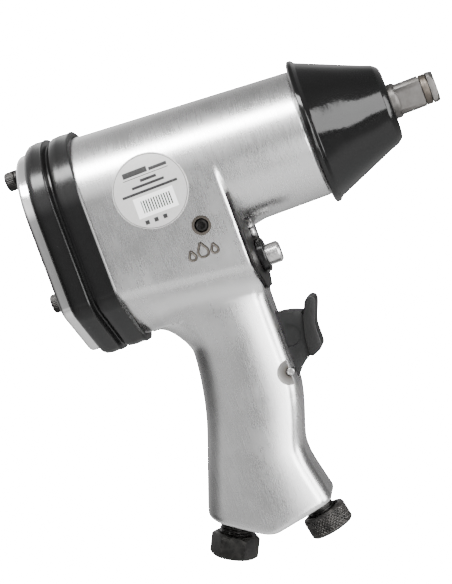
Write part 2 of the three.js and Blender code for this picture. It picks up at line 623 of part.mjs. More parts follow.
function rotor() {
  let core = turned([
    [ROTOR_SHAFT.back, 0], [ROTOR_SHAFT.back, ROTOR_SHAFT.radius], [ROTOR_BACK, ROTOR_SHAFT.radius],
    [ROTOR_BACK, ROTOR_RADIUS], [ROTOR_FRONT, ROTOR_RADIUS], [ROTOR_FRONT, ROTOR_SHAFT.radius],
    [ROTOR_SHAFT.front, ROTOR_SHAFT.radius], [ROTOR_SHAFT.front, 0],
  ], 30);
  const slot = block([ROTOR_BACK - 1, ROTOR_FRONT + 1], [-VANE.slot / 2, VANE.slot / 2], [VANE.slotFloor, 20]);
  for (let i = 0; i < VANE.count; i += 1) {
    core = core.subtract(slot.rotate([(360 / VANE.count) * i, 0, 0]));
  }
  return core;
}

add('rotor', rotor(), 'brightSteel');
for (let i = 0; i < VANE.count; i += 1) {
  const half = VANE.thickness / 2;
  const blade = block([ROTOR_BACK + GAP, ROTOR_FRONT - GAP], [-half, half], [VANE.inner, VANE.outer]);
  add(`vane_${i + 1}`, blade, 'vane').rotation.x = degrees((360 / VANE.count) * i);
}

function cylinderLiner() {
  const shell = barX(LINER.front, LINER.back, LINER.radius, 0, 0, 28);
  let liner = shell.subtract(barX(LINER.front + 1, LINER.back - 1, LINER.bore, 0, LINER.offset, 28));
  for (const x of MOTOR_PORTS) {
    liner = liner.subtract(motorPort(x, 0, -LINER.radius - 1, LINER.offset - LINER.bore + 6));
  }
  return liner;
}

// An end plate with a bearing pocket; the pocket opens forwards or backwards.
function endPlate({ front, back }, pocketForward) {
  const [webFront, webBack] = pocketForward ? [back + PLATE_WEB, back] : [front, front - PLATE_WEB];
  const into = PLATE_WEB - 0.2;
  const [pocketFront, pocketBack] = pocketForward ? [front, back + into] : [front - into, back];
  return tubeX(webFront, webBack, LINER.radius, PLATE_HOLE)
    .add(tubeX(pocketFront, pocketBack, LINER.radius, BEARING.outer + GAP));
}

add('cylinder_liner', cylinderLiner(), 'brightSteel');
add('front_end_plate', endPlate(FRONT_PLATE, true), 'brightSteel');
add('rear_end_plate', endPlate(REAR_PLATE, false), 'brightSteel');

function bearing(name, front) {
  const { bore, outer, width, pitch, ball, count } = BEARING;
  const back = front - width;
  const middle = front - width / 2;
  const groove = ball + 0.35;
  const outerLand = pitch + ball - 0.4;
  const innerLand = pitch - ball + 0.4;
  const raceGroove = [[middle - 1.6, 0], [middle, 1], [middle + 1.6, 0]];
  const outerProfile = [[back, outerLand], [back, outer], [front, outer], [front, outerLand]];
  const innerProfile = [[back, bore], [back, innerLand]];
  for (const [x, depth] of [...raceGroove].reverse()) {
    outerProfile.push([x, depth ? pitch + groove : outerLand]);
  }
  for (const [x, depth] of raceGroove) {
    innerProfile.push([x, depth ? pitch - groove : innerLand]);
  }
  outerProfile.push([back, outerLand]);
  innerProfile.push([front, innerLand], [front, bore], [back, bore]);
  add(`${name}_outer_race`, turned(outerProfile, 18), 'brightSteel');
  add(`${name}_inner_race`, turned(innerProfile, 14), 'brightSteel');
  let set = tubeX(middle + 0.5, middle - 0.5, pitch + 0.4, pitch - 0.4, 0, 0, count);
  for (let i = 0; i < count; i += 1) {
    const angle = (i / count) * Math.PI * 2;
    const place = [middle, Math.cos(angle) * pitch, Math.sin(angle) * pitch];
    set = set.add(solid(new THREE.SphereGeometry(ball, 5, 4)).translate(place));
  }
  add(`${name}_balls`, set, 'brightSteel');
}

bearing('front_bearing', FRONT_PLATE.front - GAP);
bearing('rear_bearing', REAR_PLATE.front - PLATE_WEB - GAP);

// ------------------------------------------------------------ rear end

// Height of the band over the casting, by distance behind the band's front edge.
const BUMPER_PROFILE = [
  [0, 0.9], [0.4, 2.8], [4.6, 3.0], [9.4, 2.3], [11.3, 0.9], [12.6, 2.6], [16.2, 3.0], [19.8, 2.2], [21.2, 0.7],
];

function rearBumper() {
  const outer = loft(BUMPER_PROFILE.map(([behind, height]) => blockRing(BUMPER.front - behind, height)));
  return outer.subtract(blockSolid(BUMPER.front + 2, BUMPER.back - 2, GAP, 2));
}

function rearCover() {
  const { front, back, inset, rounding, bossBack, bossRadius } = COVER;
  const edge = [[front, 0], [back + rounding, 0]];
  for (const angle of [45, 90]) {
    const turn = degrees(angle);
    edge.push([back + rounding - Math.sin(turn) * rounding, (Math.cos(turn) - 1) * rounding]);
  }
  const plate = loft(edge.map(([x, drop]) => blockRing(x, drop - inset)));
  let cover = plate.add(barX(bossBack, front - 1, bossRadius, 0, 0, 24));
  cover = cover.subtract(barX(bossBack + 1, COVER_POCKET_BACK, PLATE_HOLE));
  cover = cover.subtract(barX(front + 1, back - 1, SPOOL_RADIUS + 0.5, 0, SPOOL_HEIGHT));
  for (const [y, z] of screwPlaces()) {
    cover = cover.subtract(barX(bossBack + 1, back - 1, SCREW.shank + GAP, y, z, 10));
  }
  return cover;
}

function rearGasket() {
  let gasket = loft([blockRing(GASKET.front, -GASKET.inset), blockRing(GASKET.back, -GASKET.inset)]);
  gasket = gasket.subtract(barX(GASKET.front + 1, GASKET.back - 1, COVER.bossRadius + GAP, 0, 0, 24));
  gasket = gasket.subtract(barX(GASKET.front + 1, GASKET.back - 1, SPOOL_RADIUS + 1, 0, SPOOL_HEIGHT));
  for (const [y, z] of screwPlaces()) {
    gasket = gasket.subtract(barX(GASKET.front + 1, GASKET.back - 1, SCREW.shank + GAP, y, z, 8));
  }
  return gasket;
}

function coverScrew() {
  const screw = turned([
    [SCREW.headBack, 0], [SCREW.headBack, SCREW.head - 0.5], [SCREW.headBack + 0.5, SCREW.head],
    [SCREW.headFront, SCREW.head], [SCREW.headFront, SCREW.shank], [SCREW.front, SCREW.shank], [SCREW.front, 0],
  ], 14);
  const socket = hexagonalBar(SCREW.socket * Math.sqrt(3), -SCREW.socketDepth, SCREW.socketDepth);
  return screw.subtract(socket.rotate([0, 90, 0]).translate([SCREW.headBack, 0, 0]));
}

add('rear_bumper', rearBumper(), 'ribBlack');
add('rear_gasket', rearGasket(), 'rubber');
add('rear_cover', rearCover(), 'castAluminium');
screwPlaces().forEach(([y, z], i) => {
  const screw = add(`cover_screw_${i + 1}`, coverScrew(), 'blackOxide');
  screw.position.set(0, y, z);
  const washer = add(`spring_washer_${i + 1}`, splitRing(WASHER, 12), 'blackOxide');
  washer.position.set(0, y, z);
});

// ------------------------------------------------------------ reverse valve

function reverseSpool() {
  const profile = [[SPOOL_BACK, 0], [SPOOL_BACK, SPOOL_RADIUS - 0.7], [SPOOL_BACK + 0.7, SPOOL_RADIUS]];
  const [frontSeal, backSeal] = SPOOL_SEALS;
  const necks = [[backSeal, 0.9, 3.6], [MOTOR_PORTS[1], 4, 3.4], [-116, 6, 3.4], [frontSeal, 0.9, 3.6]];
  for (const [x, half, radius] of necks) {
    profile.push([x - half, SPOOL_RADIUS], [x - half, radius], [x + half, radius], [x + half, SPOOL_RADIUS]);
  }
  profile.push([SPOOL_FRONT - 0.8, SPOOL_RADIUS], [SPOOL_FRONT, SPOOL_RADIUS - 0.8], [SPOOL_FRONT, 0]);
  return turned(profile, 14).translate([0, 0, SPOOL_HEIGHT]);
}

function reverseSleeve() {
  let sleeve = tubeX(SLEEVE.front, SLEEVE.back, SLEEVE.outer, SLEEVE.inner, 0, SPOOL_HEIGHT, 20);
  for (const x of MOTOR_PORTS) {
    sleeve = sleeve.subtract(motorPort(x, 0, SPOOL_HEIGHT, SPOOL_HEIGHT + SLEEVE.outer + PAST));
  }
  const port = [[SPOOL_RISER.x, SPOOL_HEIGHT], [SPOOL_RISER.x, SPOOL_HEIGHT - SLEEVE.outer - PAST]];
  return sleeve.subtract(barBetween(...port, SPOOL_RISER.radius - 0.4));
}

function reverseGland() {
  const flange = barX(GLAND.front, GLAND.back, GLAND.radius, 0, SPOOL_HEIGHT + GLAND.rise, 24);
  const neck = barX(GLAND.back + 1, SLEEVE.front + GAP, GLAND.neck, 0, SPOOL_HEIGHT, 20);
  return flange.add(neck).subtract(barX(GLAND.front + 1, SLEEVE.front - 1, GLAND.bore, 0, SPOOL_HEIGHT, 20));
}

add('reverse_spool', reverseSpool(), 'brightSteel');
add('reverse_sleeve', reverseSleeve(), 'bronze');
add('reverse_gland', reverseGland(), 'ribBlack');
SPOOL_SEALS.forEach((x, i) => {
  const seal = add(`spool_seal_${i + 1}`, ringAround(SPOOL_SEAL.radius, SPOOL_SEAL.thickness), 'rubber');
  seal.rotation.y = Math.PI / 2;
  seal.position.set(x, 0, SPOOL_HEIGHT);
});

// ------------------------------------------------------------ exhaust deflector

function exhaustDeflector() {
  const { front, back, top, inset } = DEFLECTOR;
  const outline = blockRing(BLOCK_FRONT, -inset);
  const at = (x) => outline.map((point) => new THREE.Vector3(x, point.y, point.z));
  return loft([at(front), at(back)])
    .subtract(block([back - PAST, front + PAST], [-OUTSIDE, OUTSIDE], [top, OUTSIDE]))
    .subtract(barX(front + 1, back - 1, roundRadius(back) + 0.5, 0, roundCentre(back), 32))
    .subtract(barX(front + 1, back - 1, GLAND.neck + GAP, 0, SPOOL_HEIGHT, 18))
    .subtract(barX(front + 1, back - 1, DEFLECTOR_SCREW.shank + GAP, 0, DEFLECTOR_SCREW.height, 12));
}

function deflectorScrew() {
  const { head, shank, front, back, height } = DEFLECTOR_SCREW;
  const under = DEFLECTOR.front + GAP;
  return turned([[back, 0], [back, shank], [under, shank], [under, head], [front - 0.9, head],
    [front, head - 1.2], [front, 0]], 16).translate([0, 0, height]);
}

add('exhaust_deflector', exhaustDeflector(), 'blackOxide');
add('deflector_screw', deflectorScrew(), 'brightSteel');

// ------------------------------------------------------------ oil plug and label

function oilPlug() {
  const { x, z, radius, outer, inner, socket, socketFloor } = OIL_PLUG;
  return barY(x, z, radius, outer, inner, 16).subtract(barY(x, z, socket, -OUTSIDE, socketFloor, 6));
}

function nameLabel() {
  const { x, z, radius, lift, thickness, margin } = LABEL;
  const reach = radius + margin;
  const outer = blockSolid(x + reach, x - reach, lift + thickness, 1);
  const inner = blockSolid(x + reach + 1, x - reach - 1, lift, 1);
  return outer.subtract(inner).intersect(barY(x, z, radius, -OUTSIDE, 0, 28));
}

add('oil_plug', oilPlug(), 'blackOxide');
add('name_label', nameLabel(), 'label');

// ------------------------------------------------------------ trigger

function trigger() {
  const web = new THREE.Shape();
  web.moveTo(-99.0, -68.6);
  web.quadraticCurveTo(-93.0, -68.6, -87.4, -71.4);
  web.lineTo(-88.6, -84.0);
  web.lineTo(-90.2, -90.8);
  web.quadraticCurveTo(-93.6, -92.2, -97.4, -96.6);
  web.lineTo(PIVOT.x, PIVOT.z - PIVOT_BOSS + 0.4);
  web.lineTo(PIVOT.x - PIVOT_BOSS + 1.4, PIVOT.z);
  web.lineTo(-101.1, -82.0);
  web.closePath();
  const pad = new THREE.Shape();
  pad.moveTo(-85.2, -68.6);
  pad.quadraticCurveTo(-84.0, -66.0, -81.6, -66.1);
  pad.quadraticCurveTo(-79.4, -66.6, -79.8, -68.8);
  pad.bezierCurveTo(-80.6, -73.0, -83.4, -75.6, -83.6, -80.6);
  pad.bezierCurveTo(-83.7, -84.0, -83.4, -86.6, -84.0, -88.4);
  pad.quadraticCurveTo(-84.6, -89.8, -89.4, -91.4);
  pad.lineTo(-90.4, -90.6);
  pad.bezierCurveTo(-90.2, -84.0, -88.8, -76.0, -85.2, -68.6);
  const body = slab(web, WEB_HALF_WIDTH).add(slab(pad, PAD_HALF_WIDTH));
  const boss = barY(PIVOT.x, PIVOT.z, PIVOT_BOSS, -WEB_HALF_WIDTH, WEB_HALF_WIDTH);
  return body.add(boss).subtract(barY(PIVOT.x, PIVOT.z, PIVOT_RADIUS + GAP, -OUTSIDE, OUTSIDE, 20));
}

function triggerPin() {
  const half = SPOT_FACE_DEPTH + 0.2;
  return barY(PIVOT.x, PIVOT.z, PIVOT_RADIUS, -half, half, 20);
}

add('trigger', trigger(), 'triggerPlastic');
add('trigger_pin', triggerPin(), 'brightSteel');

// ------------------------------------------------------------ throttle valve

function throttleBushing() {
  const { front, back, radius, waist, port } = THROTTLE_BUSHING;
  const bore = THROTTLE_STEM.radius + 0.4;
  const sleeve = turned([
    [back, bore], [back, radius], [back + 1.2, radius], [back + 1.2, waist], [front - 2.2, waist],
    [front - 2.2, radius], [front, radius], [front, bore], [back, bore],
  ], 18).translate([0, 0, VALVE.height]);
  const through = radius + 1;
  return sleeve.subtract(
    barBetween([SPOOL_RISER.x, VALVE.height - through], [SPOOL_RISER.x, VALVE.height + through], port, 0, 8),
  );
}

function throttleStem() {
  const { front, back, radius } = THROTTLE_STEM;
  const profile = [[back, 0], [back, radius], [front - 1.2, radius], [front - 0.5, radius * 0.75], [front, 0]];
  return turned(profile, 14).translate([0, 0, VALVE.height]);
}

function throttleSeal() {
  const { front, back, inner, outer } = THROTTLE_SEAL;
  return tubeX(front, back, outer, inner, 0, VALVE.height, 20);
}

// A helix drawn out along X, closed by flat ends.
function coilSpring({ front, back, radius, wire, turns }) {
  class Helix extends THREE.Curve {
    getPoint(t) {
      const angle = t * turns * Math.PI * 2;
      const x = THREE.MathUtils.lerp(back + wire, front - wire, t);
      return new THREE.Vector3(x, radius * Math.cos(angle), radius * Math.sin(angle));
    }
  }
  const section = new THREE.Shape();
  section.absarc(0, 0, wire, 0, Math.PI * 2);
  const geometry = new THREE.ExtrudeGeometry(section, {
    steps: turns * 8, extrudePath: new Helix(), curveSegments: 2, bevelEnabled: false,
  });
  return solid(geometry.translate(0, 0, VALVE.height));
}

add('throttle_bushing', throttleBushing(), 'bronze');
add('throttle_stem', throttleStem(), 'brightSteel');
add('throttle_seal', throttleSeal(), 'rubber');
const sphere = solid(new THREE.SphereGeometry(THROTTLE_BALL.radius, 12, 8));
add('throttle_ball', sphere, 'brightSteel').position.set(THROTTLE_BALL.x, 0, VALVE.height);
add('throttle_spring', coilSpring(THROTTLE_SPRING), 'brightSteel');

// ------------------------------------------------------------ air inlet

const inlet = leaningGroup(INLET);

function inletBushing() {
  const { thread, hexAcrossFlats, hexTop, hexBottom } = INLET;
  const end = INLET_HOLE.depth - 1;
  const threaded = turnedUpright([[hexTop - 1, 0], [hexTop - 1, thread], [end, thread], [end, 0]], 20);
  const corner = hexAcrossFlats / Math.sqrt(3);
  const chamfer = turnedUpright([[hexBottom, 0], [hexBottom, corner - 0.8], [hexBottom + 0.6, corner + 0.1],
    [hexTop - 0.8, corner + 0.1], [hexTop, corner - 1.4], [hexTop, 0]], 24);
  const hexagon = hexagonalBar(hexAcrossFlats, hexBottom, hexTop).intersect(chamfer);
  const { radius, top, passage, step, cup } = INLET_BORE;
  const bore = turnedUpright([[hexBottom - PAST, 0], [hexBottom - PAST, radius], [top, radius], [top, passage],
    [step, passage], [step, cup], [end + 1, cup], [end + 1, 0]], 18);
  return threaded.add(hexagon).subtract(bore);
}

function inletScreen() {
  const { bottom, top, radius, holes, hole, orbit } = SCREEN;
  let screen = turnedUpright([[bottom, 0], [bottom, radius], [top, radius], [top, 0]], 16);
  for (let i = 0; i < holes; i += 1) {
    const angle = (i / holes) * Math.PI * 2;
    const cutter = turnedUpright([[bottom - 1, 0], [bottom - 1, hole], [top + 1, hole], [top + 1, 0]], 6);
    screen = screen.subtract(cutter.translate([Math.cos(angle) * orbit, Math.sin(angle) * orbit, 0]));
  }
  return screen;
}

add('inlet_bushing', inletBushing(), 'blackOxide', inlet);
add('inlet_screen', inletScreen(), 'bronze', inlet);

// ------------------------------------------------------------ air regulator

const regulator = leaningGroup(REGULATOR);

function regulatorStem() {
  const { neck, knobTop } = REGULATOR;
  const { bottom, radius } = REGULATOR_STUD;
  const groove = REGULATOR_GROOVE;
  const needle = REGULATOR_NEEDLE;
  return turnedUpright([
    [bottom, 0], [bottom, radius], [knobTop - 1.9, radius], [knobTop - 1.9, neck],
    [groove.bottom, neck], [groove.bottom, groove.radius], [groove.top, groove.radius], [groove.top, neck],
    [needle.shoulder, neck], [needle.bottom, needle.radius], [needle.taper, needle.radius],
    [needle.tip, needle.tipRadius], [needle.tip, 0],
  ], 16);
}

function regulatorKnob() {
  const { knob, knobTop, knobBottom, neck } = REGULATOR;
  const bore = REGULATOR_STUD.radius + 0.4;
  const floor = REGULATOR_STUD.bottom - 0.4;
  return turnedUpright([
    [knobBottom, 0], [knobBottom, knob - 1.2], [knobBottom + 0.5, knob - 0.3], [knobBottom + 1.2, knob],
    [knobTop - 1.1, knob], [knobTop, knob - 1.0], [knobTop, knob - 2.4], [knobTop - 1.6, knob - 2.8],
    [knobTop - 1.6, neck + 0.4], [knobTop - 2.4, neck + 0.4], [knobTop - 2.4, bore], [floor, bore], [floor, 0],
  ], 18);
}

add('regulator_stem', regulatorStem(), 'blackOxide', regulator);
add('regulator_knob', regulatorKnob(), 'knurledSteel', regulator);
const sealRing = ringAround(REGULATOR_SEAL.radius, REGULATOR_SEAL.thickness);
add('regulator_seal', sealRing, 'rubber', regulator).position.z = REGULATOR_SEAL.height;

export default group;
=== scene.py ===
"""Looks of the air impact wrench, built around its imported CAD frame.

Shapes are worked out in millimetres, in the frame's own axes: +X out of the square
drive, +Z up, handle down. Meshes are stored in metres.
"""
import json
import math

import bmesh
import bpy
import numpy as np
from mathutils import Matrix, Vector

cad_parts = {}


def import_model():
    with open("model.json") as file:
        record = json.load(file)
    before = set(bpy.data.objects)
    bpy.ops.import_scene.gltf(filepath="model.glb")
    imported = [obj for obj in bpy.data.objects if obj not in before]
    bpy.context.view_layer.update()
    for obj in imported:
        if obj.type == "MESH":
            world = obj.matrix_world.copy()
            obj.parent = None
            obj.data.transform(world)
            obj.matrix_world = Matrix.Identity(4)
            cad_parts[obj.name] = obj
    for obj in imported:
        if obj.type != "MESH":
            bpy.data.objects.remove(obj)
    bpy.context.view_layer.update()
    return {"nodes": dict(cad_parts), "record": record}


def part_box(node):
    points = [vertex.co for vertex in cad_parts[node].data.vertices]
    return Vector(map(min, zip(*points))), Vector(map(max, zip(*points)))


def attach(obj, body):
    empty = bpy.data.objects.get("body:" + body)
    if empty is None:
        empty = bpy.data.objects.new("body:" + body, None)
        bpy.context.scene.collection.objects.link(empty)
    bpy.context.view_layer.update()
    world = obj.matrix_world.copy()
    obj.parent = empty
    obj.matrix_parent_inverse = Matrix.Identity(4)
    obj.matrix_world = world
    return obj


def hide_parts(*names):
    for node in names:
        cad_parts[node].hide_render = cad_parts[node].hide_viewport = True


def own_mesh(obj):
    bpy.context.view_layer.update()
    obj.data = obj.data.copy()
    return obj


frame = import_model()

MM = 0.001
ROUND = 96  # sides of a turned piece
WIRE_SIDES = 10
MERGE = 0.002  # points closer than this are joined, in mm
X, Y, Z = 0, 1, 2

RECORD = frame["record"]
BODY_OF = {n: body for body, nodes in RECORD["behaviour"]["bodies"].items() for n in nodes}
SLOT_OF = {s["node"]: s["material_slot"] for s in RECORD["subparts"]}


def box(node):
    """A CAD node's lowest and highest corners, in millimetres."""
    low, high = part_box(node)
    return np.array(low) / MM, np.array(high) / MM


def middle(node):
    low, high = box(node)
    return (low + high) / 2


# ---- casting sizes

BARREL_FRONT = -57.6
BARREL_RADIUS = 28.2
TOP_SLOPE = 0.0687  # rise of the top line per mm towards the rear
RADIUS_SLOPE = 0.0323  # growth of the round top's radius per mm
BLOCK_FRONT = -98.3
BLOCK_BACK = box("motor_housing")[0][X]
CORNER_FRONT = dict(inset=6, height=-42.5, radius=6, foot_half=8, foot_height=-50.5, foot_radius=7)
CORNER_BACK = dict(inset=8, height=-34, radius=8, foot_half=4, foot_height=-49.5, foot_radius=8)
SIDE_FLAT_ABOVE = -4
SIDE_DROP = 36
SIDE_DRAW_IN = 1.8
BUMPER_CLEAR = -162
CORNERS_SETTLE = -156  # the lower corners stop changing behind this

HANDLE_FRONT_LINE = [
    (-40, -98.3), (-76, -98.4), (-97, -98.7), (-105.5, -100), (-113.4, -102.3), (-124.5, -105.9),
    (-130, -106.5), (-136, -105.9), (-148, -103.3), (-158, -101), (-166, -99.5),
]
HANDLE_BACK_LINE = [
    (-40, -155.5), (-55.5, -154), (-57.4, -150), (-59.8, -146), (-63.8, -142.6), (-69, -139.8),
    (-74, -139), (-88, -140.8), (-103.5, -144.4), (-125, -151.9), (-139.5, -156.9), (-152, -161),
    (-166, -166),
]
HANDLE_HALF_WIDTH = [
    (-40, 16), (-58, 15.6), (-76, 14.6), (-98, 14.6), (-125, 15.6), (-145, 17), (-166, 18),
]
HANDLE_FRONT_ROUND = 6
HANDLE_CROWN = 3.2  # how far the handle's sides bulge between their edges
HANDLE_SLIM = 1.2
FOOT_ROUND = 3.2
HANDLE_BACK_ROUND = 10
HANDLE_TOP = -30
FOOT_PLANES = [(-103, -153, -11.3), (-156.4, -144.2, 31.5)]  # x, z, tilt in degrees
NOSE_LINE = [(-60.6, 27.8), (-55.6, 27.8), (-48, 25.37), (-26.4, 15.99), (-23.4, 13.09)]

EDGE_ROUND = 0.9  # cast edges that were linished
CELL = 0.75  # size of the skin's faces

INLET_AXIS = (-147.2, -149.6, 27)  # x, z, tilt in degrees
REGULATOR_AXIS = (-110.4, -156.2, -11.3)
SPOOL_BORE = 5.35
SPOOL_HEIGHT = middle("reverse_spool")[Z]
SCREW_BORE = 2.7
SPOT_FACE = 12.3  # half the width between the pin's two spot faces
SPOT_RADIUS = 5.6


# ---- mesh helpers

def add(name, data):
    """A new object in the scene."""
    obj = bpy.data.objects.new(name, data)
    bpy.context.scene.collection.objects.link(obj)
    return obj


def mesh_object(name, points, faces):
    """A mesh object from points in millimetres."""
    mesh = bpy.data.meshes.new(name)
    mesh.from_pydata((np.asarray(points, float) * MM).tolist(), [], [list(map(int, f)) for f in faces])
    mesh.validate()
    return add(name, mesh)


def tidy(obj):
    """Joins doubled points and turns every face outwards."""
    work = bmesh.new()
    work.from_mesh(obj.data)
    bmesh.ops.remove_doubles(work, verts=work.verts, dist=MERGE * MM)
    bmesh.ops.dissolve_degenerate(work, edges=work.edges, dist=MERGE * MM / 2)
    bmesh.ops.recalc_face_normals(work, faces=work.faces)
    work.to_mesh(obj.data)
    work.free()
    return obj


def smooth(obj, angle=30):
    """Smooth shading that stays crisp at edges sharper than the angle."""
    obj.data.polygons.foreach_set("use_smooth", [True] * len(obj.data.polygons))
    obj.data.set_sharp_from_angle(angle=math.radians(angle))
    return obj


def apply_modifiers(obj):
    graph = bpy.context.evaluated_depsgraph_get()
    done = bpy.data.meshes.new_from_object(obj.evaluated_get(graph))
    obj.modifiers.clear()
    old, obj.data = obj.data, done
    bpy.data.meshes.remove(old)
    return obj


def combine(obj, others, operation="DIFFERENCE"):
    """Cuts, joins or intersects obj with the others, which are used up."""
    for other in others:
        step = obj.modifiers.new("combine", "BOOLEAN")
        step.operation = operation
        step.solver = "MANIFOLD"
        step.object = other
    apply_modifiers(obj)
    for other in others:
        bpy.data.objects.remove(other)
    return obj


def bevelled(obj, width, segments=3, angle=35):
    step = obj.modifiers.new("bevel", "BEVEL")
    step.width = width * MM
    step.segments = segments
    step.limit_method = "ANGLE"
    step.angle_limit = math.radians(angle)
    return apply_modifiers(obj)


def loft(name, rings, ends_closed=True, loop=False):
    """Skins a list of rings with the same number of points."""
    rings = np.asarray(rings, float)
    count, size = rings.shape[:2]
    faces = []
    for i in range(count if loop else count - 1):
        following = (i + 1) % count
        for k in range(size):
            beside = (k + 1) % size
            faces.append((i * size + k, i * size + beside, following * size + beside, following * size + k))
    if ends_closed and not loop:
        faces.append(range(size))
        faces.append(range((count - 1) * size, count * size))
    return tidy(mesh_object(name, rings.reshape(-1, 3), faces))


def rounded(points, closed=False, steps=4):
    """An outline whose corners are arcs. A point is (u, v) or (u, v, corner radius)."""
    result = []
    count = len(points)
    for i, (u, v, *radius) in enumerate(points):
        here = Vector((u, v))
        if not radius or not (closed or 0 < i < count - 1):
            result.append(tuple(here))
            continue
        back = Vector(points[i - 1][:2]) - here
        ahead = Vector(points[(i + 1) % count][:2]) - here
        turn = math.pi - back.angle(ahead)
        reach = min(radius[0] * math.tan(turn / 2), back.length * 0.48, ahead.length * 0.48)
        start = here + back.normalized() * reach
        end = here + ahead.normalized() * reach
        for k in range(steps + 1):
            t = k / steps
            result.append(tuple(start * (1 - t) ** 2 + here * (2 * t * (1 - t)) + end * t ** 2))
    return result


def circle(sides):
    """Evenly spaced angles around a circle."""
    return np.arange(sides) * (2 * math.pi / sides)


def ring_at(along, radius, angles, axis):
    """Points around an axis. The radius may differ from angle to angle."""
    ring = np.stack([np.full(len(angles), along), radius * np.cos(angles), radius * np.sin(angles)], 1)
    return np.roll(ring, axis, 1)


def turned(name, profile, axis=X, centre=(0, 0, 0), sides=ROUND, closed=False):
    """Revolves (along, radius) points about an axis through the centre."""
    angles = circle(sides)
    rings = [ring_at(along, radius, angles, axis) + centre for along, radius in rounded(profile, closed)]
    return loft(name, rings, ends_closed=False, loop=closed)


def bar(name, axis, low, high, radius, centre=(0, 0, 0), sides=48):
    """A round cutter along an axis."""
    return turned(name, [(low, 0), (low, radius), (high, radius), (high, 0)], axis, centre, sides)


def prism(name, outline, low, high, axis=Y):
    """A flat outline in the two other axes, drawn out along one axis."""
    return loft(name, [np.insert(np.asarray(outline, float), axis, along, 1) for along in (low, high)])


def hexagon(radius, turn=0, centre=(0, 0)):
    corners = circle(6) + turn
    return np.stack([radius * np.cos(corners), radius * np.sin(corners)], 1) + centre


def bezier(p0, p1, p2, p3, steps=10):
    """Points along a cubic curve, without its start."""
    t = np.linspace(0, 1, steps + 1)[1:, None]
    p0, p1, p2, p3 = (np.array(p, float) for p in (p0, p1, p2, p3))
    return ((1 - t) ** 3 * p0 + 3 * t * (1 - t) ** 2 * p1 + 3 * t ** 2 * (1 - t) * p2 + t ** 3 * p3).tolist()


def quadratic(p0, p1, p2):
    p0, p1, p2 = (np.array(p, float) for p in (p0, p1, p2))
    return bezier(p0, p0 + (p1 - p0) * 2 / 3, p2 + (p1 - p2) * 2 / 3, p2, 8)


def lean(obj, axis):
    """Moves a piece made upright onto a leaning axis (x, z, tilt)."""
    x, z, tilt = axis
    obj.data.transform(Matrix.Translation((x * MM, 0, z * MM)) @ Matrix.Rotation(math.radians(tilt), 4, "Y"))
    return obj


def wire(name, path, thickness):
    """A round wire along a closed path of points."""
    ahead = np.roll(path, -1, 0) - np.roll(path, 1, 0)
    ahead /= np.linalg.norm(ahead, axis=1)[:, None]
    side = np.cross(ahead, (0, 1, 0))
    side /= np.linalg.norm(side, axis=1)[:, None]
    up = np.cross(side, ahead)
    angles = circle(WIRE_SIDES)[:, None]
    rings = [p + thickness * (np.cos(angles) * s + np.sin(angles) * u) for p, s, u in zip(path, side, up)]
    return loft(name, rings, loop=True)


# ---- casting skin

def smooth_line(pairs):
    """A smooth value along z, through (z, value) pairs that run downwards."""
    points = np.array(pairs, float)
    padded = np.vstack([points[0], points, points[-1]])
    samples = []
    for i in range(len(points) - 1):
        p0, p1, p2, p3 = padded[i:i + 4]
        t = np.linspace(0, 1, 16, endpoint=False)[:, None]
        bend = 2 * p0 - 5 * p1 + 4 * p2 - p3 + t * (3 * (p1 - p2) + p3 - p0)
        samples.append(p1 + 0.5 * t * (p2 - p0 + t * bend))
    samples = np.vstack(samples + [points[-1:]])
    order = np.argsort(samples[:, 0])
    return lambda z: np.interp(z, samples[order, 0], samples[order, 1])


handle_front = smooth_line(HANDLE_FRONT_LINE)
handle_back = smooth_line(HANDLE_BACK_LINE)
handle_half_width = smooth_line(HANDLE_HALF_WIDTH)


def round_radius(x):
    return BARREL_RADIUS + RADIUS_SLOPE * (BARREL_FRONT - x)


def round_centre(x):
    return BARREL_RADIUS + TOP_SLOPE * (BARREL_FRONT - x) - round_radius(x)


def smooth_min(a, b, reach):
    share = np.clip(0.5 + 0.5 * (b - a) / reach, 0, 1)
    return b + (a - b) * share - reach * share * (1 - share)


def smooth_max(a, b, reach):
    return -smooth_min(-a, -b, reach)


def around_discs(side, along, discs):
    """Distance from the outline around discs (side, along, radius), listed from top to
    bottom, that is the same on both sides of side = 0."""
    result = np.maximum(along - discs[0][1] - discs[0][2], discs[-1][1] - discs[-1][2] - along)
    turns = [0]
    for (s0, a0, r0), (s1, a1, r1) in zip(discs, discs[1:]):
        length = np.hypot(s1 - s0, a1 - a0)
        turn = np.arctan2(s1 - s0, a1 - a0) % (2 * math.pi) - np.arccos(np.clip((r0 - r1) / length, -1, 1))
        turns.append(turn)
        result = np.maximum(result, (side - s0) * np.sin(turn) + (along - a0) * np.cos(turn) - r0)
    turns.append(math.pi)
    for (s, a, r), start, end in zip(discs, turns, turns[1:]):
        angle = np.arctan2(side - s, along - a)
        arc = np.hypot(side - s, along - a) - r
        result = np.where((angle >= start) & (angle <= end), np.maximum(result, arc), result)
    return result


def block_discs(x):
    share = np.clip((x - BLOCK_FRONT) / (CORNERS_SETTLE - BLOCK_FRONT), 0, 1)
    corner = {k: CORNER_FRONT[k] + (CORNER_BACK[k] - CORNER_FRONT[k]) * share for k in CORNER_FRONT}
    return [
        (0, round_centre(x), round_radius(x)),
        (round_radius(x) - corner["inset"], corner["height"], corner["radius"]),
        (corner["foot_half"], corner["foot_height"], corner["foot_radius"]),
    ]


def block_outline(x, y, z):
    """Distance from the motor block's outline, without its end faces. Its sides draw in a
    little towards the bottom, except under the bumper."""
    low_down = np.clip((SIDE_FLAT_ABOVE - z) / SIDE_DROP, 0, 1.3)
    draw_in = SIDE_DRAW_IN * low_down ** 2 * np.clip((x - BUMPER_CLEAR) / 22, 0, 1)
    return around_discs(np.abs(y) + draw_in, z, block_discs(x))


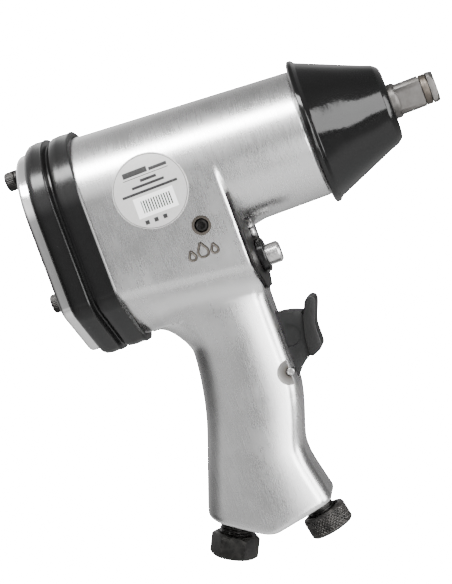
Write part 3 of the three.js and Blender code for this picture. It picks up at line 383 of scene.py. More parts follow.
def handle_skin(x, y, z):
    half, front, back = handle_half_width(z), handle_front(z), handle_back(z)
    discs = [
        (half - HANDLE_FRONT_ROUND, front - HANDLE_FRONT_ROUND, HANDLE_FRONT_ROUND),
        (half - HANDLE_BACK_ROUND, back + HANDLE_BACK_ROUND, HANDLE_BACK_ROUND),
    ]
    across = np.clip((2 * x - front - back) / (front - back), -1, 1)
    side = np.abs(y) - HANDLE_CROWN * (1 - across ** 2) + HANDLE_SLIM
    skin = np.maximum(around_discs(side, x, discs), z - HANDLE_TOP)
    for plane_x, plane_z, tilt in FOOT_PLANES:
        lean_by = math.radians(tilt)
        above = (x - plane_x) * math.sin(lean_by) + (z - plane_z) * math.cos(lean_by)
        skin = smooth_max(skin, -above, FOOT_ROUND)
    return skin


def casting_skin(p):
    """Distance from the casting's outer surface, negative inside, at points in mm."""
    x, y, z = p[..., X], p[..., Y], p[..., Z]
    ramp = np.clip((np.abs(y) - 6) / 8, 0, 1)
    fillet = 2.5 + 4.5 * ramp * ramp * (3 - 2 * ramp)
    body = smooth_min(block_outline(x, y, z), handle_skin(x, y, z), fillet)
    body = smooth_max(body, x - BLOCK_FRONT, EDGE_ROUND)
    body = smooth_max(body, BLOCK_BACK - x, EDGE_ROUND)
    barrel = np.hypot(y, z - round_centre(x)) - round_radius(x)
    gusset = np.hypot(y * 0.8, z + 24.6 - (x + 98) * 0.35) - 5.6
    gusset = smooth_max(gusset, x + 90, 4)
    barrel = smooth_min(barrel, gusset, 3)
    barrel = smooth_max(smooth_max(barrel, x - BARREL_FRONT, EDGE_ROUND), BLOCK_FRONT - 6 - x, EDGE_ROUND)
    body = smooth_min(body, barrel, EDGE_ROUND * np.clip((4 - z) / 12, 0.01, 1))
    nose = np.hypot(y, z) - np.interp(x, [q[0] for q in NOSE_LINE], [q[1] for q in NOSE_LINE])
    nose = np.maximum(np.maximum(nose, x - NOSE_LINE[-1][0]), NOSE_LINE[0][0] - x)
    return np.minimum(body, nose)


def slope(field, points):
    """The field's gradient at points."""
    step = 0.05
    changes = [field(points + shift) - field(points - shift) for shift in np.eye(3) * step]
    return np.stack(changes, 1) / (2 * step)


CORNERS = np.array([(i, j, k) for i in (0, 1) for j in (0, 1) for k in (0, 1)])


def skin_mesh(name, field, low, high, cell):
    """Skins the surface where a distance field is zero, one point for each cell it crosses,
    with each point then moved onto the surface."""
    low = np.array(low, float)
    sizes = np.ceil((np.array(high) - low) / cell).astype(int) + 1
    values = np.empty(sizes, np.float32)
    rows, columns = np.meshgrid(*(low[a] + cell * np.arange(sizes[a]) for a in (Y, Z)), indexing="ij")
    for i in range(sizes[X]):
        values[i] = field(np.stack([np.full_like(rows, low[X] + cell * i), rows, columns], -1))
    corner_values = [values[tuple(slice(c, n - 1 + c) for c, n in zip(corner, sizes))] for corner in CORNERS]
    inside = sum((v < 0).astype(np.int8) for v in corner_values)
    cells = np.argwhere((inside > 0) & (inside < 8))
    at = np.stack([v[tuple(cells.T)] for v in corner_values], 1)
    total = np.zeros((len(cells), 3))
    crossings = np.zeros(len(cells))
    for a in range(8):
        for b in range(a + 1, 8):
            if np.abs(CORNERS[a] - CORNERS[b]).sum() != 1:
                continue
            crossed = (at[:, a] < 0) != (at[:, b] < 0)
            share = np.where(crossed, at[:, a] / np.where(crossed, at[:, a] - at[:, b], 1), 0)
            total += np.where(crossed[:, None], CORNERS[a] + share[:, None] * (CORNERS[b] - CORNERS[a]), 0)
            crossings += crossed
    points = low + cell * (cells + total / crossings[:, None])
    for _ in range(4):
        gradient = slope(field, points)
        points = points - (field(points) / np.maximum((gradient ** 2).sum(1), 0.05))[:, None] * gradient
    number = np.full(sizes - 1, -1)
    number[tuple(cells.T)] = np.arange(len(cells))
    faces = []
    for axis in (X, Y, Z):
        u, v = (axis + 1) % 3, (axis + 2) % 3
        near = [slice(1, n - 1) for n in sizes]
        near[axis] = slice(0, sizes[axis] - 1)
        far = list(near)
        far[axis] = slice(1, sizes[axis])
        first, second = values[tuple(near)] < 0, values[tuple(far)] < 0
        crossed = np.argwhere(first != second)
        leaves = first[tuple(crossed.T)]
        base = crossed + np.array([s.start for s in near])
        quad = []
        for du, dv in ((-1, -1), (0, -1), (0, 0), (-1, 0)):
            at_cell = base.copy()
            at_cell[:, u] += du
            at_cell[:, v] += dv
            quad.append(number[tuple(at_cell.T)])
        quad = np.stack(quad, 1)
        quad[~leaves] = quad[~leaves][:, ::-1]
        faces.append(quad)
    return mesh_object(name, points, np.vstack(faces))


def drop_outline(x, z, height):
    """A drop, point up, around its centre."""
    width = height * 0.33
    top, bottom = z + height / 2, z - height / 2
    edge = x + width
    right = bezier((x, top), (x + width * 0.3, z + height * 0.2), (edge, z), (edge, z - height * 0.18))
    right += bezier(right[-1], (edge, bottom + 0.05 * height), (x + width * 0.55, bottom), (x, bottom), 8)
    left = [(2 * x - u, v) for u, v in right[-2::-1]]
    return right + left


def side_of_block(x, z):
    """How far the block's left side stands from the middle plane."""
    low, high = np.zeros_like(x), np.full_like(x, 40)
    for _ in range(24):
        half = (low + high) / 2
        outside = block_outline(x, half, z) > 0
        low, high = np.where(outside, low, half), np.where(outside, half, high)
    return (low + high) / 2


def oil_mark_cutters():
    """A stamped oil mark below the plug: a drop between two smaller ones."""
    cutters = []
    for x, height in ((-115.6, 6.6), (-120.6, 4.4), (-110.6, 4.4)):
        outline = np.array(drop_outline(x, -31.0 - (6.6 - height) / 2, height))
        depth = side_of_block(outline[:, 0], outline[:, 1])
        path = np.stack([outline[:, 0], -depth, outline[:, 1]], 1)
        cutters.append(wire("oil_mark", path, 0.62))
    return cutters


def screw_bores(low, high, sides):
    places = [middle(f"cover_screw_{i}") for i in range(1, 5)]
    return [bar("screw_bore", X, low, high, SCREW_BORE, (0, p[Y], p[Z]), sides) for p in places]


def casting():
    low, high = box("motor_housing")
    obj = skin_mesh("casting", casting_skin, low - 2.2, high + 2.2, CELL)
    pin, plug = middle("trigger_pin"), middle("oil_plug")
    screw, valve = middle("deflector_screw"), middle("throttle_stem")
    cutters = [
        bar("nose_bore", X, -60, -20, 11, sides=ROUND),
        bar("hammer_bore", X, -96.8, -50.4, 24.6, sides=ROUND),
        bar("motor_bore", X, -180, -96.3, 25.7, sides=ROUND),
        bar("sleeve_bore", X, -152.3, -90, 7.5, (0, 0, SPOOL_HEIGHT)),
        bar("spool_bore", X, -180, -150, SPOOL_BORE, (0, 0, SPOOL_HEIGHT)),
        bar("screw_bore", X, -107.5, -92, 2, (0, 0, screw[Z]), 24),
        bar("screw_seat", X, BLOCK_FRONT - 0.01, -90, 3.2, (0, 0, screw[Z]), 48),
        bar("valve_bore", X, -135.3, -103, 7.9, (0, 0, valve[Z])),
        bar("oil_seat", Y, -40, -29.1, 4.2, (plug[X], 0, plug[Z]), 64),
        bar("oil_bore", Y, -40, -21, 3.1, (plug[X], 0, plug[Z])),
        bar("pin_bore", Y, -30, 30, 2.05, (pin[X], 0, pin[Z]), 40),
        bar("spot_face_left", Y, -30, -SPOT_FACE, SPOT_RADIUS, (pin[X], 0, pin[Z]), 72),
        bar("spot_face_right", Y, SPOT_FACE, 30, SPOT_RADIUS, (pin[X], 0, pin[Z]), 72),
        prism("trigger_slot", [(-105.6, -99.6), (-90, -99.6), (-90, -66.2), (-105.6, -66.2)], -6.4, 6.4),
        lean(bar("inlet_bore", Z, -20, 17, 7.9), INLET_AXIS),
        lean(bar("inlet_passage", Z, 16, 31, 5.2), INLET_AXIS),
        lean(bar("regulator_bore", Z, -20, 22, 6.3), REGULATOR_AXIS),
        lean(bar("regulator_passage", Z, 21, 32, 3.6), REGULATOR_AXIS),
    ]
    combine(obj, cutters + screw_bores(-180, -159.5, 24) + oil_mark_cutters())
    return smooth(obj, 38)


def mark_wear(obj):
    """Stores how hollow, how sharp and how far cut in the casting is at each point, for its material, which
    paints shade into the hollows and cut faces and brightens worn edges.
    """
    count = len(obj.data.vertices)
    points = np.empty(count * 3)
    obj.data.vertices.foreach_get("co", points)
    points = points.reshape(-1, 3) / MM
    step = 1.4
    bend = -6 * casting_skin(points)
    for shift in np.eye(3) * step:
        bend += casting_skin(points + shift) + casting_skin(points - shift)
    bend /= step
    # Faces cut in below the skin, which the material darkens with painted shade.
    cut = np.clip(-casting_skin(points) * 12 - 0.6, 0, 1)
    pin = middle("trigger_pin")
    near_pin = np.hypot(points[:, X] - pin[X], points[:, Z] - pin[Z])
    # Less painted shade on the near spot face round the trigger pin.
    cut[(near_pin > 3) & (near_pin < SPOT_RADIUS + 0.1) & (points[:, Y] < 0)] *= 0.6
    # Hollows, which the material darkens with painted shade.
    hollow = np.clip(-bend, 0, 1) * 0.5
    for name, values in (("cut", cut), ("hollow", hollow), ("edge", np.clip((bend - 0.25) * 1.2, 0, 1))):
        attribute = obj.data.attributes.new(name, "FLOAT", "POINT")
        attribute.data.foreach_set("value", values.astype(np.float32))


# ---- nose and drive

SQUARE = 12.7
SQUARE_TURN = 9


def nose_boot():
    """The rubber cone, with a rounded mouth and a thin flange against the barrel."""
    profile = [
        (-20.2, 9.2, 0.5), (-20.2, 13.2), (-20.6, 15.9, 3), (-23, 17.9, 3.5), (-27.5, 19.6, 2.5),
        (-53.4, 30.7, 1.2), (-54.9, 32.3, 0.7), (-56.6, 32.4, 0.7), (-57.3, 31, 0.4), (-57.3, 28.35),
        (-55.2, 28.35), (-48, 25.85), (-26.4, 16.45), (-23.1, 13.9), (-23.1, 9.2, 0.3),
    ]
    return smooth(turned("boot", profile, sides=160, closed=True), 50)


def anvil():
    """Collar, spindle and the square drive with its rounded corners and ring groove."""
    tip = turned("tip", [(-17.6, 0), (-17.6, 8.25), (-1.6, 8.25, 0.6), (0, 6.3, 0.5), (0, 0)], sides=128)
    half = SQUARE / 2
    corners = [(y * half, z * half, 0.9) for y, z in ((1, 1), (-1, 1), (-1, -1), (1, -1))]
    square = prism("square", rounded(corners, closed=True, steps=5), -18, 1, axis=X)
    square.data.transform(Matrix.Rotation(math.radians(SQUARE_TURN), 4, "X"))
    square = bevelled(combine(square, [tip], "INTERSECT"), 0.35, 2, 25)
    groove = turned("groove", [(-3, 12), (-3, 4), (-6.4, 4), (-6.4, 12)], closed=True)
    square = combine(square, [groove])
    spindle = turned("spindle", [
        (-86.6, 0), (-86.6, 3.9, 0.4), (-83.4, 3.9), (-83.4, 9.5, 0.5), (-55.6, 9.5, 0.5), (-55.6, 7.75),
        (-21.6, 7.75), (-17.6, 7.75, 1.6), (-16.6, 6.6, 1), (-16.2, 0),
    ])
    jaw = prism("jaw", [(-3.5, 5), (3.5, 5), (3.5, 11.4), (-3.5, 11.4)], -83.4, -55.6, axis=X)
    return smooth(combine(spindle, [square, bevelled(jaw, 0.6)], "UNION"), 28)


def split_ring(node, gap, chamfer=0.25):
    low, high = box(node)
    centre = (0, (low[Y] + high[Y]) / 2, (low[Z] + high[Z]) / 2)
    outer = (high[Y] - low[Y]) / 2
    inner = outer * (2.8 / 4.2) if "washer" in node else outer - 1.2
    corners = ((low[X], inner), (low[X], outer), (high[X], outer), (high[X], inner))
    ring = turned("ring", [(x, radius, chamfer) for x, radius in corners], centre=centre, closed=True)
    slit = ((-gap, 0), (gap, 0), (gap * 1.6, 12), (-gap * 0.4, 12))
    slit = [(centre[Y] + y, centre[Z] + z) for y, z in slit]
    return smooth(combine(ring, [prism("slit", slit, low[X] - 1, high[X] + 1, axis=X)]))


def retainer_o_ring():
    """A round ring where its CAD ring is."""
    low, high = box("retainer_o_ring")
    thickness = (high[X] - low[X]) / 2
    along, *centre = (low + high) / 2
    radius = (high[Y] - low[Y]) / 2 - thickness
    profile = [(along + thickness * math.cos(a), radius + thickness * math.sin(a)) for a in circle(16)]
    return smooth(turned("o_ring", profile, centre=(0, *centre), closed=True), 60)


# ---- rear end

BUMPER_FRONT = box("rear_bumper")[1][X]
BUMPER_PROFILE = [
    (0, 0.4), (0, 2.2), (0.35, 3.05), (0.9, 3.1), (1.6, 2.75), (5.5, 2.9), (8.6, 2.5), (9.9, 1.6),
    (10.7, 0.75), (11.3, 0.75), (11.7, 1.9), (12.1, 2.9), (12.6, 3.05), (13.3, 2.7), (16.6, 2.85),
    (19.4, 2.3), (20.8, 1.2), (21.2, 0.4),
]
COVER_BACK = box("rear_cover")[0][X]
COVER_FRONT = -177.6
OUTLINE_POINTS = 192


def block_ring(x, offset):
    """The block's outline at x, pushed out by the offset."""
    discs = block_discs(x)
    pairs = [discs[0]] + [(s * d[0], d[1], d[2]) for d in discs[1:] for s in (1, -1)]
    ring = []
    for angle in circle(OUTLINE_POINTS) + math.pi / OUTLINE_POINTS:
        across, up = math.cos(angle), math.sin(angle)
        y, z, r = max(pairs, key=lambda d: d[0] * across + d[1] * up + d[2])
        ring.append((x, y + (r + offset) * across, z + (r + offset) * up))
    return ring


def rear_bumper():
    """Two ribbed bands with thin front lips."""
    back = box("rear_bumper")[0][X]
    outer = [(BUMPER_FRONT - behind, height) for behind, height in BUMPER_PROFILE]
    rings = [block_ring(x, h) for x, h in outer] + [block_ring(back, 0.3), block_ring(BUMPER_FRONT, 0.3)]
    return smooth(loft("bumper", rings, loop=True), 40)


def rear_cover():
    """The polished plate, with a quarter-round edge and the boss that holds the motor."""
    rounding = 2.2
    edge = [(COVER_FRONT, 0), (COVER_BACK + rounding, 0)]
    for step in range(1, 8):
        turn = step * math.pi / 14
        edge.append((COVER_BACK + rounding * (1 - math.sin(turn)), (math.cos(turn) - 1) * rounding))
    plate = loft("cover", [block_ring(x, drop - 0.9) for x, drop in edge])
    boss = bar("boss", X, -178.6, -169.6, 25, sides=ROUND)
    pocket = bar("pocket", X, -173.5, -160, 6, sides=64)
    spool_hole = bar("spool_hole", X, -190, -160, SPOOL_BORE, (0, 0, SPOOL_HEIGHT), 64)
    holes = [pocket, spool_hole] + screw_bores(-190, -160, 32)
    return smooth(combine(combine(plate, [boss], "UNION"), holes))


def cover_screw(i):
    """A socket cap screw with a knurled head."""
    _, y, z = middle(f"cover_screw_{i}")
    screw = turned("screw", [
        (-188.4, 0), (-188.4, 3.7, 0.3), (-187.7, 4.25, 0.4), (-184, 4.25, 0.15), (-183.9, 2.4),
        (-161.1, 2.4), (-160.5, 1.8), (-160.5, 0)], centre=(0, y, z), sides=72)
    cuts = [prism("socket", hexagon(2.3, 0.3, (y, z)), -189, -185.4, axis=X)]
    for turn in circle(36):
        groove = (0, y + 4.4 * math.cos(turn), z + 4.4 * math.sin(turn))
        cuts.append(bar("groove", X, -187.6, -184.5, 0.3, groove, 6))
    return smooth(combine(screw, cuts))


# ---- reverse valve and deflector

def reverse_gland():
    centre = (0, 0, SPOOL_HEIGHT)
    rim = [(-93.9, 7.2, 0.8), (-93.4, 6.4, 0.4), (-93.4, 0)]
    flange = [(-99, 0), (-99, 6), (-96.6, 6), (-96.6, 7.2, 0.2)] + rim
    rise = turned("rise", [(-96.6, 0), (-96.6, 7.2)] + rim, centre=(0, 0, SPOOL_HEIGHT + 1.2))
    bore = [(-100, 0), (-100, 5.15), (-93.9, 5.15), (-93.3, 5.7), (-93, 5.7), (-93, 0)]
    gland = combine(turned("gland", flange, centre=centre), [rise], "UNION")
    return smooth(combine(gland, [turned("bore", bore, centre=centre)]))


def reverse_spool():
    low, high = box("reverse_spool")
    land = 4.85
    profile = [(low[X], 0), (low[X], 4.2), (low[X] + 0.7, land)]
    for x, half, radius in ((-148, 0.9, 3.6), (-138, 4, 3.4), (-116, 6, 3.4), (-103.5, 0.9, 3.6)):
        back, front = x - half, x + half
        profile += [(back, land, 0.2), (back, radius, 0.2), (front, radius, 0.2), (front, land, 0.2)]
    profile += [(high[X] - 1, land, 0.3), (high[X], 3.9, 0.3), (high[X], 0)]
    return smooth(turned("spool", profile, centre=(0, 0, SPOOL_HEIGHT)))


def exhaust_deflector():
    low, high = box("exhaust_deflector")
    screw = middle("deflector_screw")[Z]
    plate = loft("plate", [block_ring(high[X], -0.7), block_ring(low[X], -0.7)])
    ends = (low[X] - 2, high[X] + 2)
    cuts = [
        prism("top", [(-60, high[Z]), (60, high[Z]), (60, 60), (-60, 60)], *ends, axis=X),
        bar("barrel", X, *ends, round_radius(low[X]) + 0.5, (0, 0, round_centre(low[X])), 128),
        bar("gland", X, *ends, 6.3, (0, 0, SPOOL_HEIGHT), 64),
        bar("screw", X, *ends, 2, (0, 0, screw), 32),
    ]
    return smooth(bevelled(combine(plate, cuts), 0.2, 2))


def deflector_screw():
    """A pan head screw with a cross slot."""
    low, high = box("deflector_screw")
    centre = (0, 0, middle("deflector_screw")[Z])
    screw = turned("screw", [
        (low[X], 0), (low[X], 1.7), (-96.6, 1.7), (-96.6, 2.8, 0.2), (high[X] - 1, 2.8, 1),
        (high[X], 1.6, 0.5), (high[X], 0)], centre=centre, sides=64)
    slot = [(-1.7, -0.28), (1.7, -0.28), (1.7, 0.28), (-1.7, 0.28)]
    cuts = []
    for turn in (0.4, 0.4 + math.pi / 2):
        cut = prism("cross", slot, high[X] - 0.9, high[X] + 1, axis=X)
        cut.data.transform(Matrix.Translation((0, 0, centre[2] * MM)) @ Matrix.Rotation(turn, 4, "X"))
        cuts.append(cut)
    return smooth(combine(screw, cuts))


SPRING_WIRE = 0.5  # its radius
SPRING_TURNS = 5


def throttle_spring():
    """The coil behind the throttle ball."""
    low, high = box("throttle_spring")
    centre = (low + high) / 2
    radius = (high[Y] - low[Y]) / 2 - SPRING_WIRE
    length = high[X] - low[X] - 2 * SPRING_WIRE
    angles = circle(WIRE_SIDES)[:, None]
    rings = []
    for share in np.linspace(0, 1, SPRING_TURNS * 28 + 1):
        turn = share * SPRING_TURNS * 2 * math.pi
        outward = np.array([0, math.cos(turn), math.sin(turn)])
        point = np.array([low[X] + SPRING_WIRE + share * length, centre[Y], centre[Z]]) + radius * outward
        rings.append(point + SPRING_WIRE * (np.cos(angles) * outward + np.sin(angles) * (1, 0, 0)))
    return smooth(loft("spring", rings), 60)


# ---- plug, label and trigger

def oil_plug():
    x, _, z = middle("oil_plug")
    low, high = (corner[Y] for corner in box("oil_plug"))
    profile = [(low, 0), (low, 2.3), (low + 0.5, 2.8, 0.2), (high, 2.8), (high, 0)]
    plug = turned("plug", profile, Y, (x, 0, z), 72)
    return smooth(combine(plug, [prism("socket", hexagon(1.75, 0, (x, z)), low - 1, low + 2.6)]))


LABEL_RINGS = 22
LABEL_RADIUS = 16.3
LABEL_LIFT = 0.3
LABEL_THICKNESS = 0.3


def name_label():
    """A round sticker that follows the casting's side, with a slightly rounded edge."""
    x, _, z = middle("name_label")
    angles = circle(ROUND)
    rings = []
    levels = [(r * LABEL_RADIUS / LABEL_RINGS, LABEL_THICKNESS) for r in range(1, LABEL_RINGS)]
    levels += [(LABEL_RADIUS - 0.12, LABEL_THICKNESS), (LABEL_RADIUS, LABEL_THICKNESS - 0.12)]
    levels += [(r * LABEL_RADIUS / 4, 0) for r in (4, 3, 2, 1)]
    for radius, height in levels:
        xs, zs = x + radius * np.cos(angles), z + radius * np.sin(angles)
        rings.append(np.stack([xs, -side_of_block(xs, zs) - LABEL_LIFT - height, zs], 1))
    return smooth(loft("label", rings), 45)


def path(start, *steps):
    """A line of points. Each step is an end point, after one or two control points if it bends."""
    points = [start]
    for *handles, end in steps:
        if not handles:
            points.append(end)
        elif len(handles) == 1:
            points += quadratic(points[-1], *handles, end)
        else:
            points += bezier(points[-1], *handles, end)
    return points


def trigger():
    """Pivoted web with a wide, curved finger pad."""
    pin_x, _, pin_z = middle("trigger_pin")
    web = path(
        (-99, -68.6), [(-93, -68.6), (-87.4, -71.4)], [(-88.6, -84)], [(-90.2, -90.8)],
        [(-93.6, -92.2), (-97.4, -96.6)], [(pin_x, pin_z - 3.7)], [(pin_x - 2.7, pin_z)], [(-101.1, -82)])
    pad = path(
        (-85.2, -68.6), [(-84, -66), (-81.6, -66.1)], [(-79.4, -66.6), (-79.8, -68.8)],
        [(-80.6, -73), (-83.4, -75.6), (-83.6, -80.6)], [(-83.7, -84), (-83.4, -86.6), (-84, -88.4)],
        [(-84.6, -89.8), (-89.4, -91.4)], [(-90.4, -90.6)], [(-90.2, -84), (-88.8, -76), (-85.2, -68.6)])
    boss = bar("boss", Y, -6, 6, 4.1, (pin_x, 0, pin_z), 64)
    obj = combine(prism("web", web, -6, 6), [boss], "UNION")
    blade = bevelled(prism("pad", pad[:-1], -9.5, 9.5), 1.3, 4, 40)
    obj = combine(bevelled(obj, 0.35, 2, 40), [blade], "UNION")
    cuts = [bar("disc", Y, low, high, 5, (-96.2, 0, -79.6), 64) for low, high in ((-7, -4.9), (4.9, 7))]
    cuts.append(bar("hole", Y, -20, 20, 2.05, (pin_x, 0, pin_z), 48))
    return smooth(combine(obj, cuts))


def trigger_pin():
    left, right = (corner[Y] for corner in box("trigger_pin"))
    x, _, z = middle("trigger_pin")
    profile = [(left + 0.25, 0), (left + 0.25, 0.75), (left, 1), (left, 1.35), (left + 0.4, 1.75),
               (right - 0.4, 1.75), (right, 1.35), (right, 0)]
    return smooth(turned("pin", profile, Y, (x, 0, z), 48))


# ---- inlet and regulator

THREAD_PITCH = 1.5


def threaded(name, radius, depth, low, high):
    """A screw thread about the Z axis, fading out at both ends."""
    steps = int((high - low) / THREAD_PITCH * 10)
    angles = circle(72)
    rings = []
    for z in np.linspace(low, high, steps + 1):
        phase = ((z - low) / THREAD_PITCH - angles / (2 * math.pi)) % 1
        crest = np.clip(1.35 - np.abs(phase - 0.5) * 4, 0, 1)
        fade = max(min(1, (z - low) / 0.8, (high - z) / 0.8), 0)
        rings.append(ring_at(z, radius - depth * (1 - crest * fade), angles, Z))
    return loft(name, rings)


def inlet_bushing():
    low, top, corner = -16.8, -6.3, 19 / math.sqrt(3)
    body = prism("hexagon", hexagon(corner), low, top, axis=Z)
    chamfer = turned("chamfer", [
        (low, 0), (low, corner - 1.3, 0.3), (low + 1, corner + 0.2), (top - 1.6, corner + 0.2),
        (top, corner - 2.2, 0.5), (top, 0)], Z, sides=128)
    body = bevelled(combine(body, [chamfer], "INTERSECT"), 0.25, 2, 25)
    thread = threaded("thread", 7.6, 0.85, top - 1.2, 16)
    bore = turned("bore", [
        (low - 1, 0), (low - 1, 6.5), (low, 6.5), (low + 0.8, 5.8), (-2, 5.8), (-2, 4.4), (9, 4.4),
        (9, 6), (18, 6), (18, 0)], Z)
    return smooth(lean(combine(combine(thread, [body], "UNION"), [bore]), INLET_AXIS))


def regulator_stem():
    stem = turned("stem", [
        (-9.2, 0), (-9.2, 3.9, 0.3), (-3.8, 3.9), (-3.8, 5.8, 0.3), (-1.4, 5.8, 0.2), (-1.2, 5.2),
        (-0.9, 5.2), (-0.7, 5.8, 0.2), (6.6, 5.8), (6.6, 4.6), (8.4, 4.6), (8.4, 5.8), (20, 5.8),
        (21, 2.8), (27, 2.8), (30, 0.6), (30, 0)], Z, sides=72)
    return smooth(lean(stem, REGULATOR_AXIS))


KNURL_STARTS = 40
KNURL_DEPTH = 0.55
KNURL_RADIUS = 10.15
KNURL_LOW, KNURL_HIGH = -10.4, -3.2
KNURL_TWIST = 0.9 / 10.2  # radians per mm
KNURL_FADE = 0.6  # mm over which the knurl rises at each end


def knurl(z, angles):
    """The knob's radius at height z."""
    twist = (z - KNURL_LOW) * KNURL_TWIST
    left = np.abs(np.sin(KNURL_STARTS * (angles + twist) / 2))
    right = np.abs(np.sin(KNURL_STARTS * (angles - twist) / 2))
    edge = min(1, (z - KNURL_LOW) / KNURL_FADE + 0.15, (KNURL_HIGH - z) / KNURL_FADE + 0.15)
    return KNURL_RADIUS - KNURL_DEPTH * (1 - np.minimum(left, right) * 1.5).clip(0, 1) * edge


def regulator_knob():
    """A knob with a true diamond knurl between two polished chamfers."""
    angles = circle(288)
    profile = [(-11.6, 0), (-11.6, 8.6), (-11.45, 9.1), (-11, 9.7)]
    profile += [(z, knurl(z, angles)) for z in np.linspace(KNURL_LOW, KNURL_HIGH, 29)]
    profile += [
        (-2.6, 9.85), (-2.1, 9.5), (-1.9, 9), (-1.9, 7.9), (-2.3, 7.5), (-3.5, 7.4), (-3.5, 6.2),
        (-4.3, 6.2), (-4.3, 4.3), (-9.6, 4.3), (-9.6, 0)]
    knob = loft("knob", [ring_at(z, radius, angles, Z) for z, radius in profile], ends_closed=False)
    return smooth(lean(knob, REGULATOR_AXIS), 24)


# ---- materials

def put(tree, value, socket):
    if isinstance(value, bpy.types.NodeSocket):
        tree.links.new(value, socket)
    else:
        socket.default_value = value


def new_node(tree, kind, inputs=(), **settings):
    """A shader node, with its inputs linked or set."""
    made = tree.nodes.new("ShaderNode" + kind)
    for key, value in settings.items():
        setattr(made, key, value)
    for key, value in dict(inputs).items():
        put(tree, value, made.inputs[key])
    return made


class Surface:
    """A procedural material under construction, with short helpers for its nodes."""

    def __init__(self, name, **sockets):
        self.material = bpy.data.materials.new(name)
        self.material.use_nodes = True
        self.shader = self.material.node_tree.nodes["Principled BSDF"]
        for socket, value in sockets.items():
            self.shader.inputs[socket.replace("_", " ")].default_value = value
        self.place = self.node("TexCoord").outputs["Object"]

    def node(self, kind, inputs=(), **settings):
        return new_node(self.material.node_tree, kind, inputs, **settings)

    def noise(self, scale, detail=4, stretch=None, rough=0.55):
        """Grey noise. The scale is in cells per metre, and stretch scales each axis."""
        vector = self.place
        if stretch:
            vector = self.node("Mapping", {"Vector": vector, "Scale": stretch}).outputs["Vector"]
        inputs = {"Vector": vector, "Scale": scale, "Detail": detail, "Roughness": rough}
        return self.node("TexNoise", inputs).outputs["Fac"]

    def span(self, value, low, high, start=0.3, end=0.7):
        """The value's range start to end, spread over low to high."""
        inputs = {"Value": value, "From Min": start, "From Max": end, "To Min": low, "To Max": high}
        return self.node("MapRange", inputs).outputs["Result"]

    def maths(self, operation, a, b=0):
        return self.node("Math", {0: a, 1: b}, operation=operation).outputs[0]

    def sum(self, a, b):
        return self.maths("ADD", a, b)

    def times(self, a, b):
        return self.maths("MULTIPLY", a, b)

    def mix(self, share, first, second):
        """A colour between two others."""
        return self.node("Mix", {0: share, 6: first, 7: second}, data_type="RGBA").outputs[2]

    def finish(self, colour, roughness, height, depth):
        """Joins up the shader. Depth is the relief's height in millimetres."""
        bump = self.node("Bump", {"Height": height, "Distance": depth * MM, "Strength": 1.0})
        inputs = {"Base Color": colour, "Roughness": roughness, "Normal": bump.outputs["Normal"]}
        for key, value in inputs.items():
            put(self.material.node_tree, value, self.shader.inputs[key])
        return self.material


def grey(value, warmth=0):
    return (value * (1 + warmth), value, value * (1 - warmth), 1)


def aluminium(name, tone, gloss):
    """Linished aluminium: fine polishing streaks round the tool, dull hollows and cut faces darkened with
    painted shade, bright worn edges.
    """
    s = Surface(name, Metallic=1)
    streak = s.noise(1, 3, (1300, 100, 100), 0.6)
    cloud = s.noise(70, 3)
    scratches = s.noise(1, 1, (60, 1500, 1500))
    masks = [s.node("Attribute", attribute_name=key).outputs["Fac"] for key in ("hollow", "edge", "cut")]
    hollow, edge, cut = masks
    shade_and_wear = s.mix(s.span(cloud, 0, 1), grey(tone * 0.95, 0.004), grey(tone, 0.002))
    shade_and_wear = s.mix(s.span(streak, 0, 0.2), shade_and_wear, grey(tone * 0.88, 0.006))
    shade_and_wear = s.mix(s.span(scratches, 0, 0.3, 0.76, 0.84), shade_and_wear, grey(min(tone * 1.25, 0.97)))
    # Painted shade: the hollows darkened.
    shade_and_wear = s.mix(hollow, shade_and_wear, grey(tone * 0.6, 0.02))
    shade_and_wear = s.mix(s.times(edge, 0.5), shade_and_wear, grey(min(tone * 1.15, 0.95)))
    # Painted shade: cut faces, such as bores, slots, spot faces and the oil mark, darkened almost to black.
    shade_and_wear = s.mix(cut, shade_and_wear, grey(tone * 0.12, 0.12))
    rough = s.sum(s.span(streak, gloss, gloss + 0.04), s.span(cloud, 0, 0.04))
    rough = s.sum(rough, s.times(hollow, 0.14))
    rough = s.sum(rough, s.times(cut, 0.2))
    return s.finish(shade_and_wear, rough, streak, 0.0005)


def glossy_rubber(name, tone, rough, wave):
    """Moulded glossy black. Its slight waves are given in millimetres."""
    s = Surface(name, Specular_IOR_Level=0.36)
    peel = s.noise(420, 2)
    swell = s.noise(36, 1)
    scuff = s.noise(1, 4, (1200, 300, 300), 0.75)
    dust = s.noise(2600, 2)
    colour = s.mix(s.span(scuff, 0, 0.5, 0.64, 0.85), grey(tone), grey(tone * 2.4, 0.01))
    colour = s.mix(s.span(dust, 0, 0.5, 0.68, 0.85), colour, grey(tone * 3, 0.02))
    roughness = s.sum(s.span(scuff, rough, rough + 0.12, 0.6, 0.9), s.span(peel, 0, 0.04))
    return s.finish(colour, roughness, s.sum(swell, s.times(peel, 0.02)), wave)


def machined(name, tone, warmth, rough, along=(2600, 300, 300), dark=0.8, relief=0.006):
    """Turned or ground steel with tool marks and slight staining."""
    s = Surface(name, Metallic=1)
    marks = s.noise(1, 4, along, 0.7)
    stain = s.noise(160, 4)
    colour = s.mix(s.span(stain, 0, 1, 0.35, 0.75), grey(tone, warmth), grey(tone * dark, warmth * 1.6))
    colour = s.mix(s.span(marks, 0, 0.3), colour, grey(tone * 0.8, warmth))
    roughness = s.sum(s.span(marks, rough, rough + 0.14), s.span(stain, 0, 0.1))
    return s.finish(colour, roughness, marks, relief)


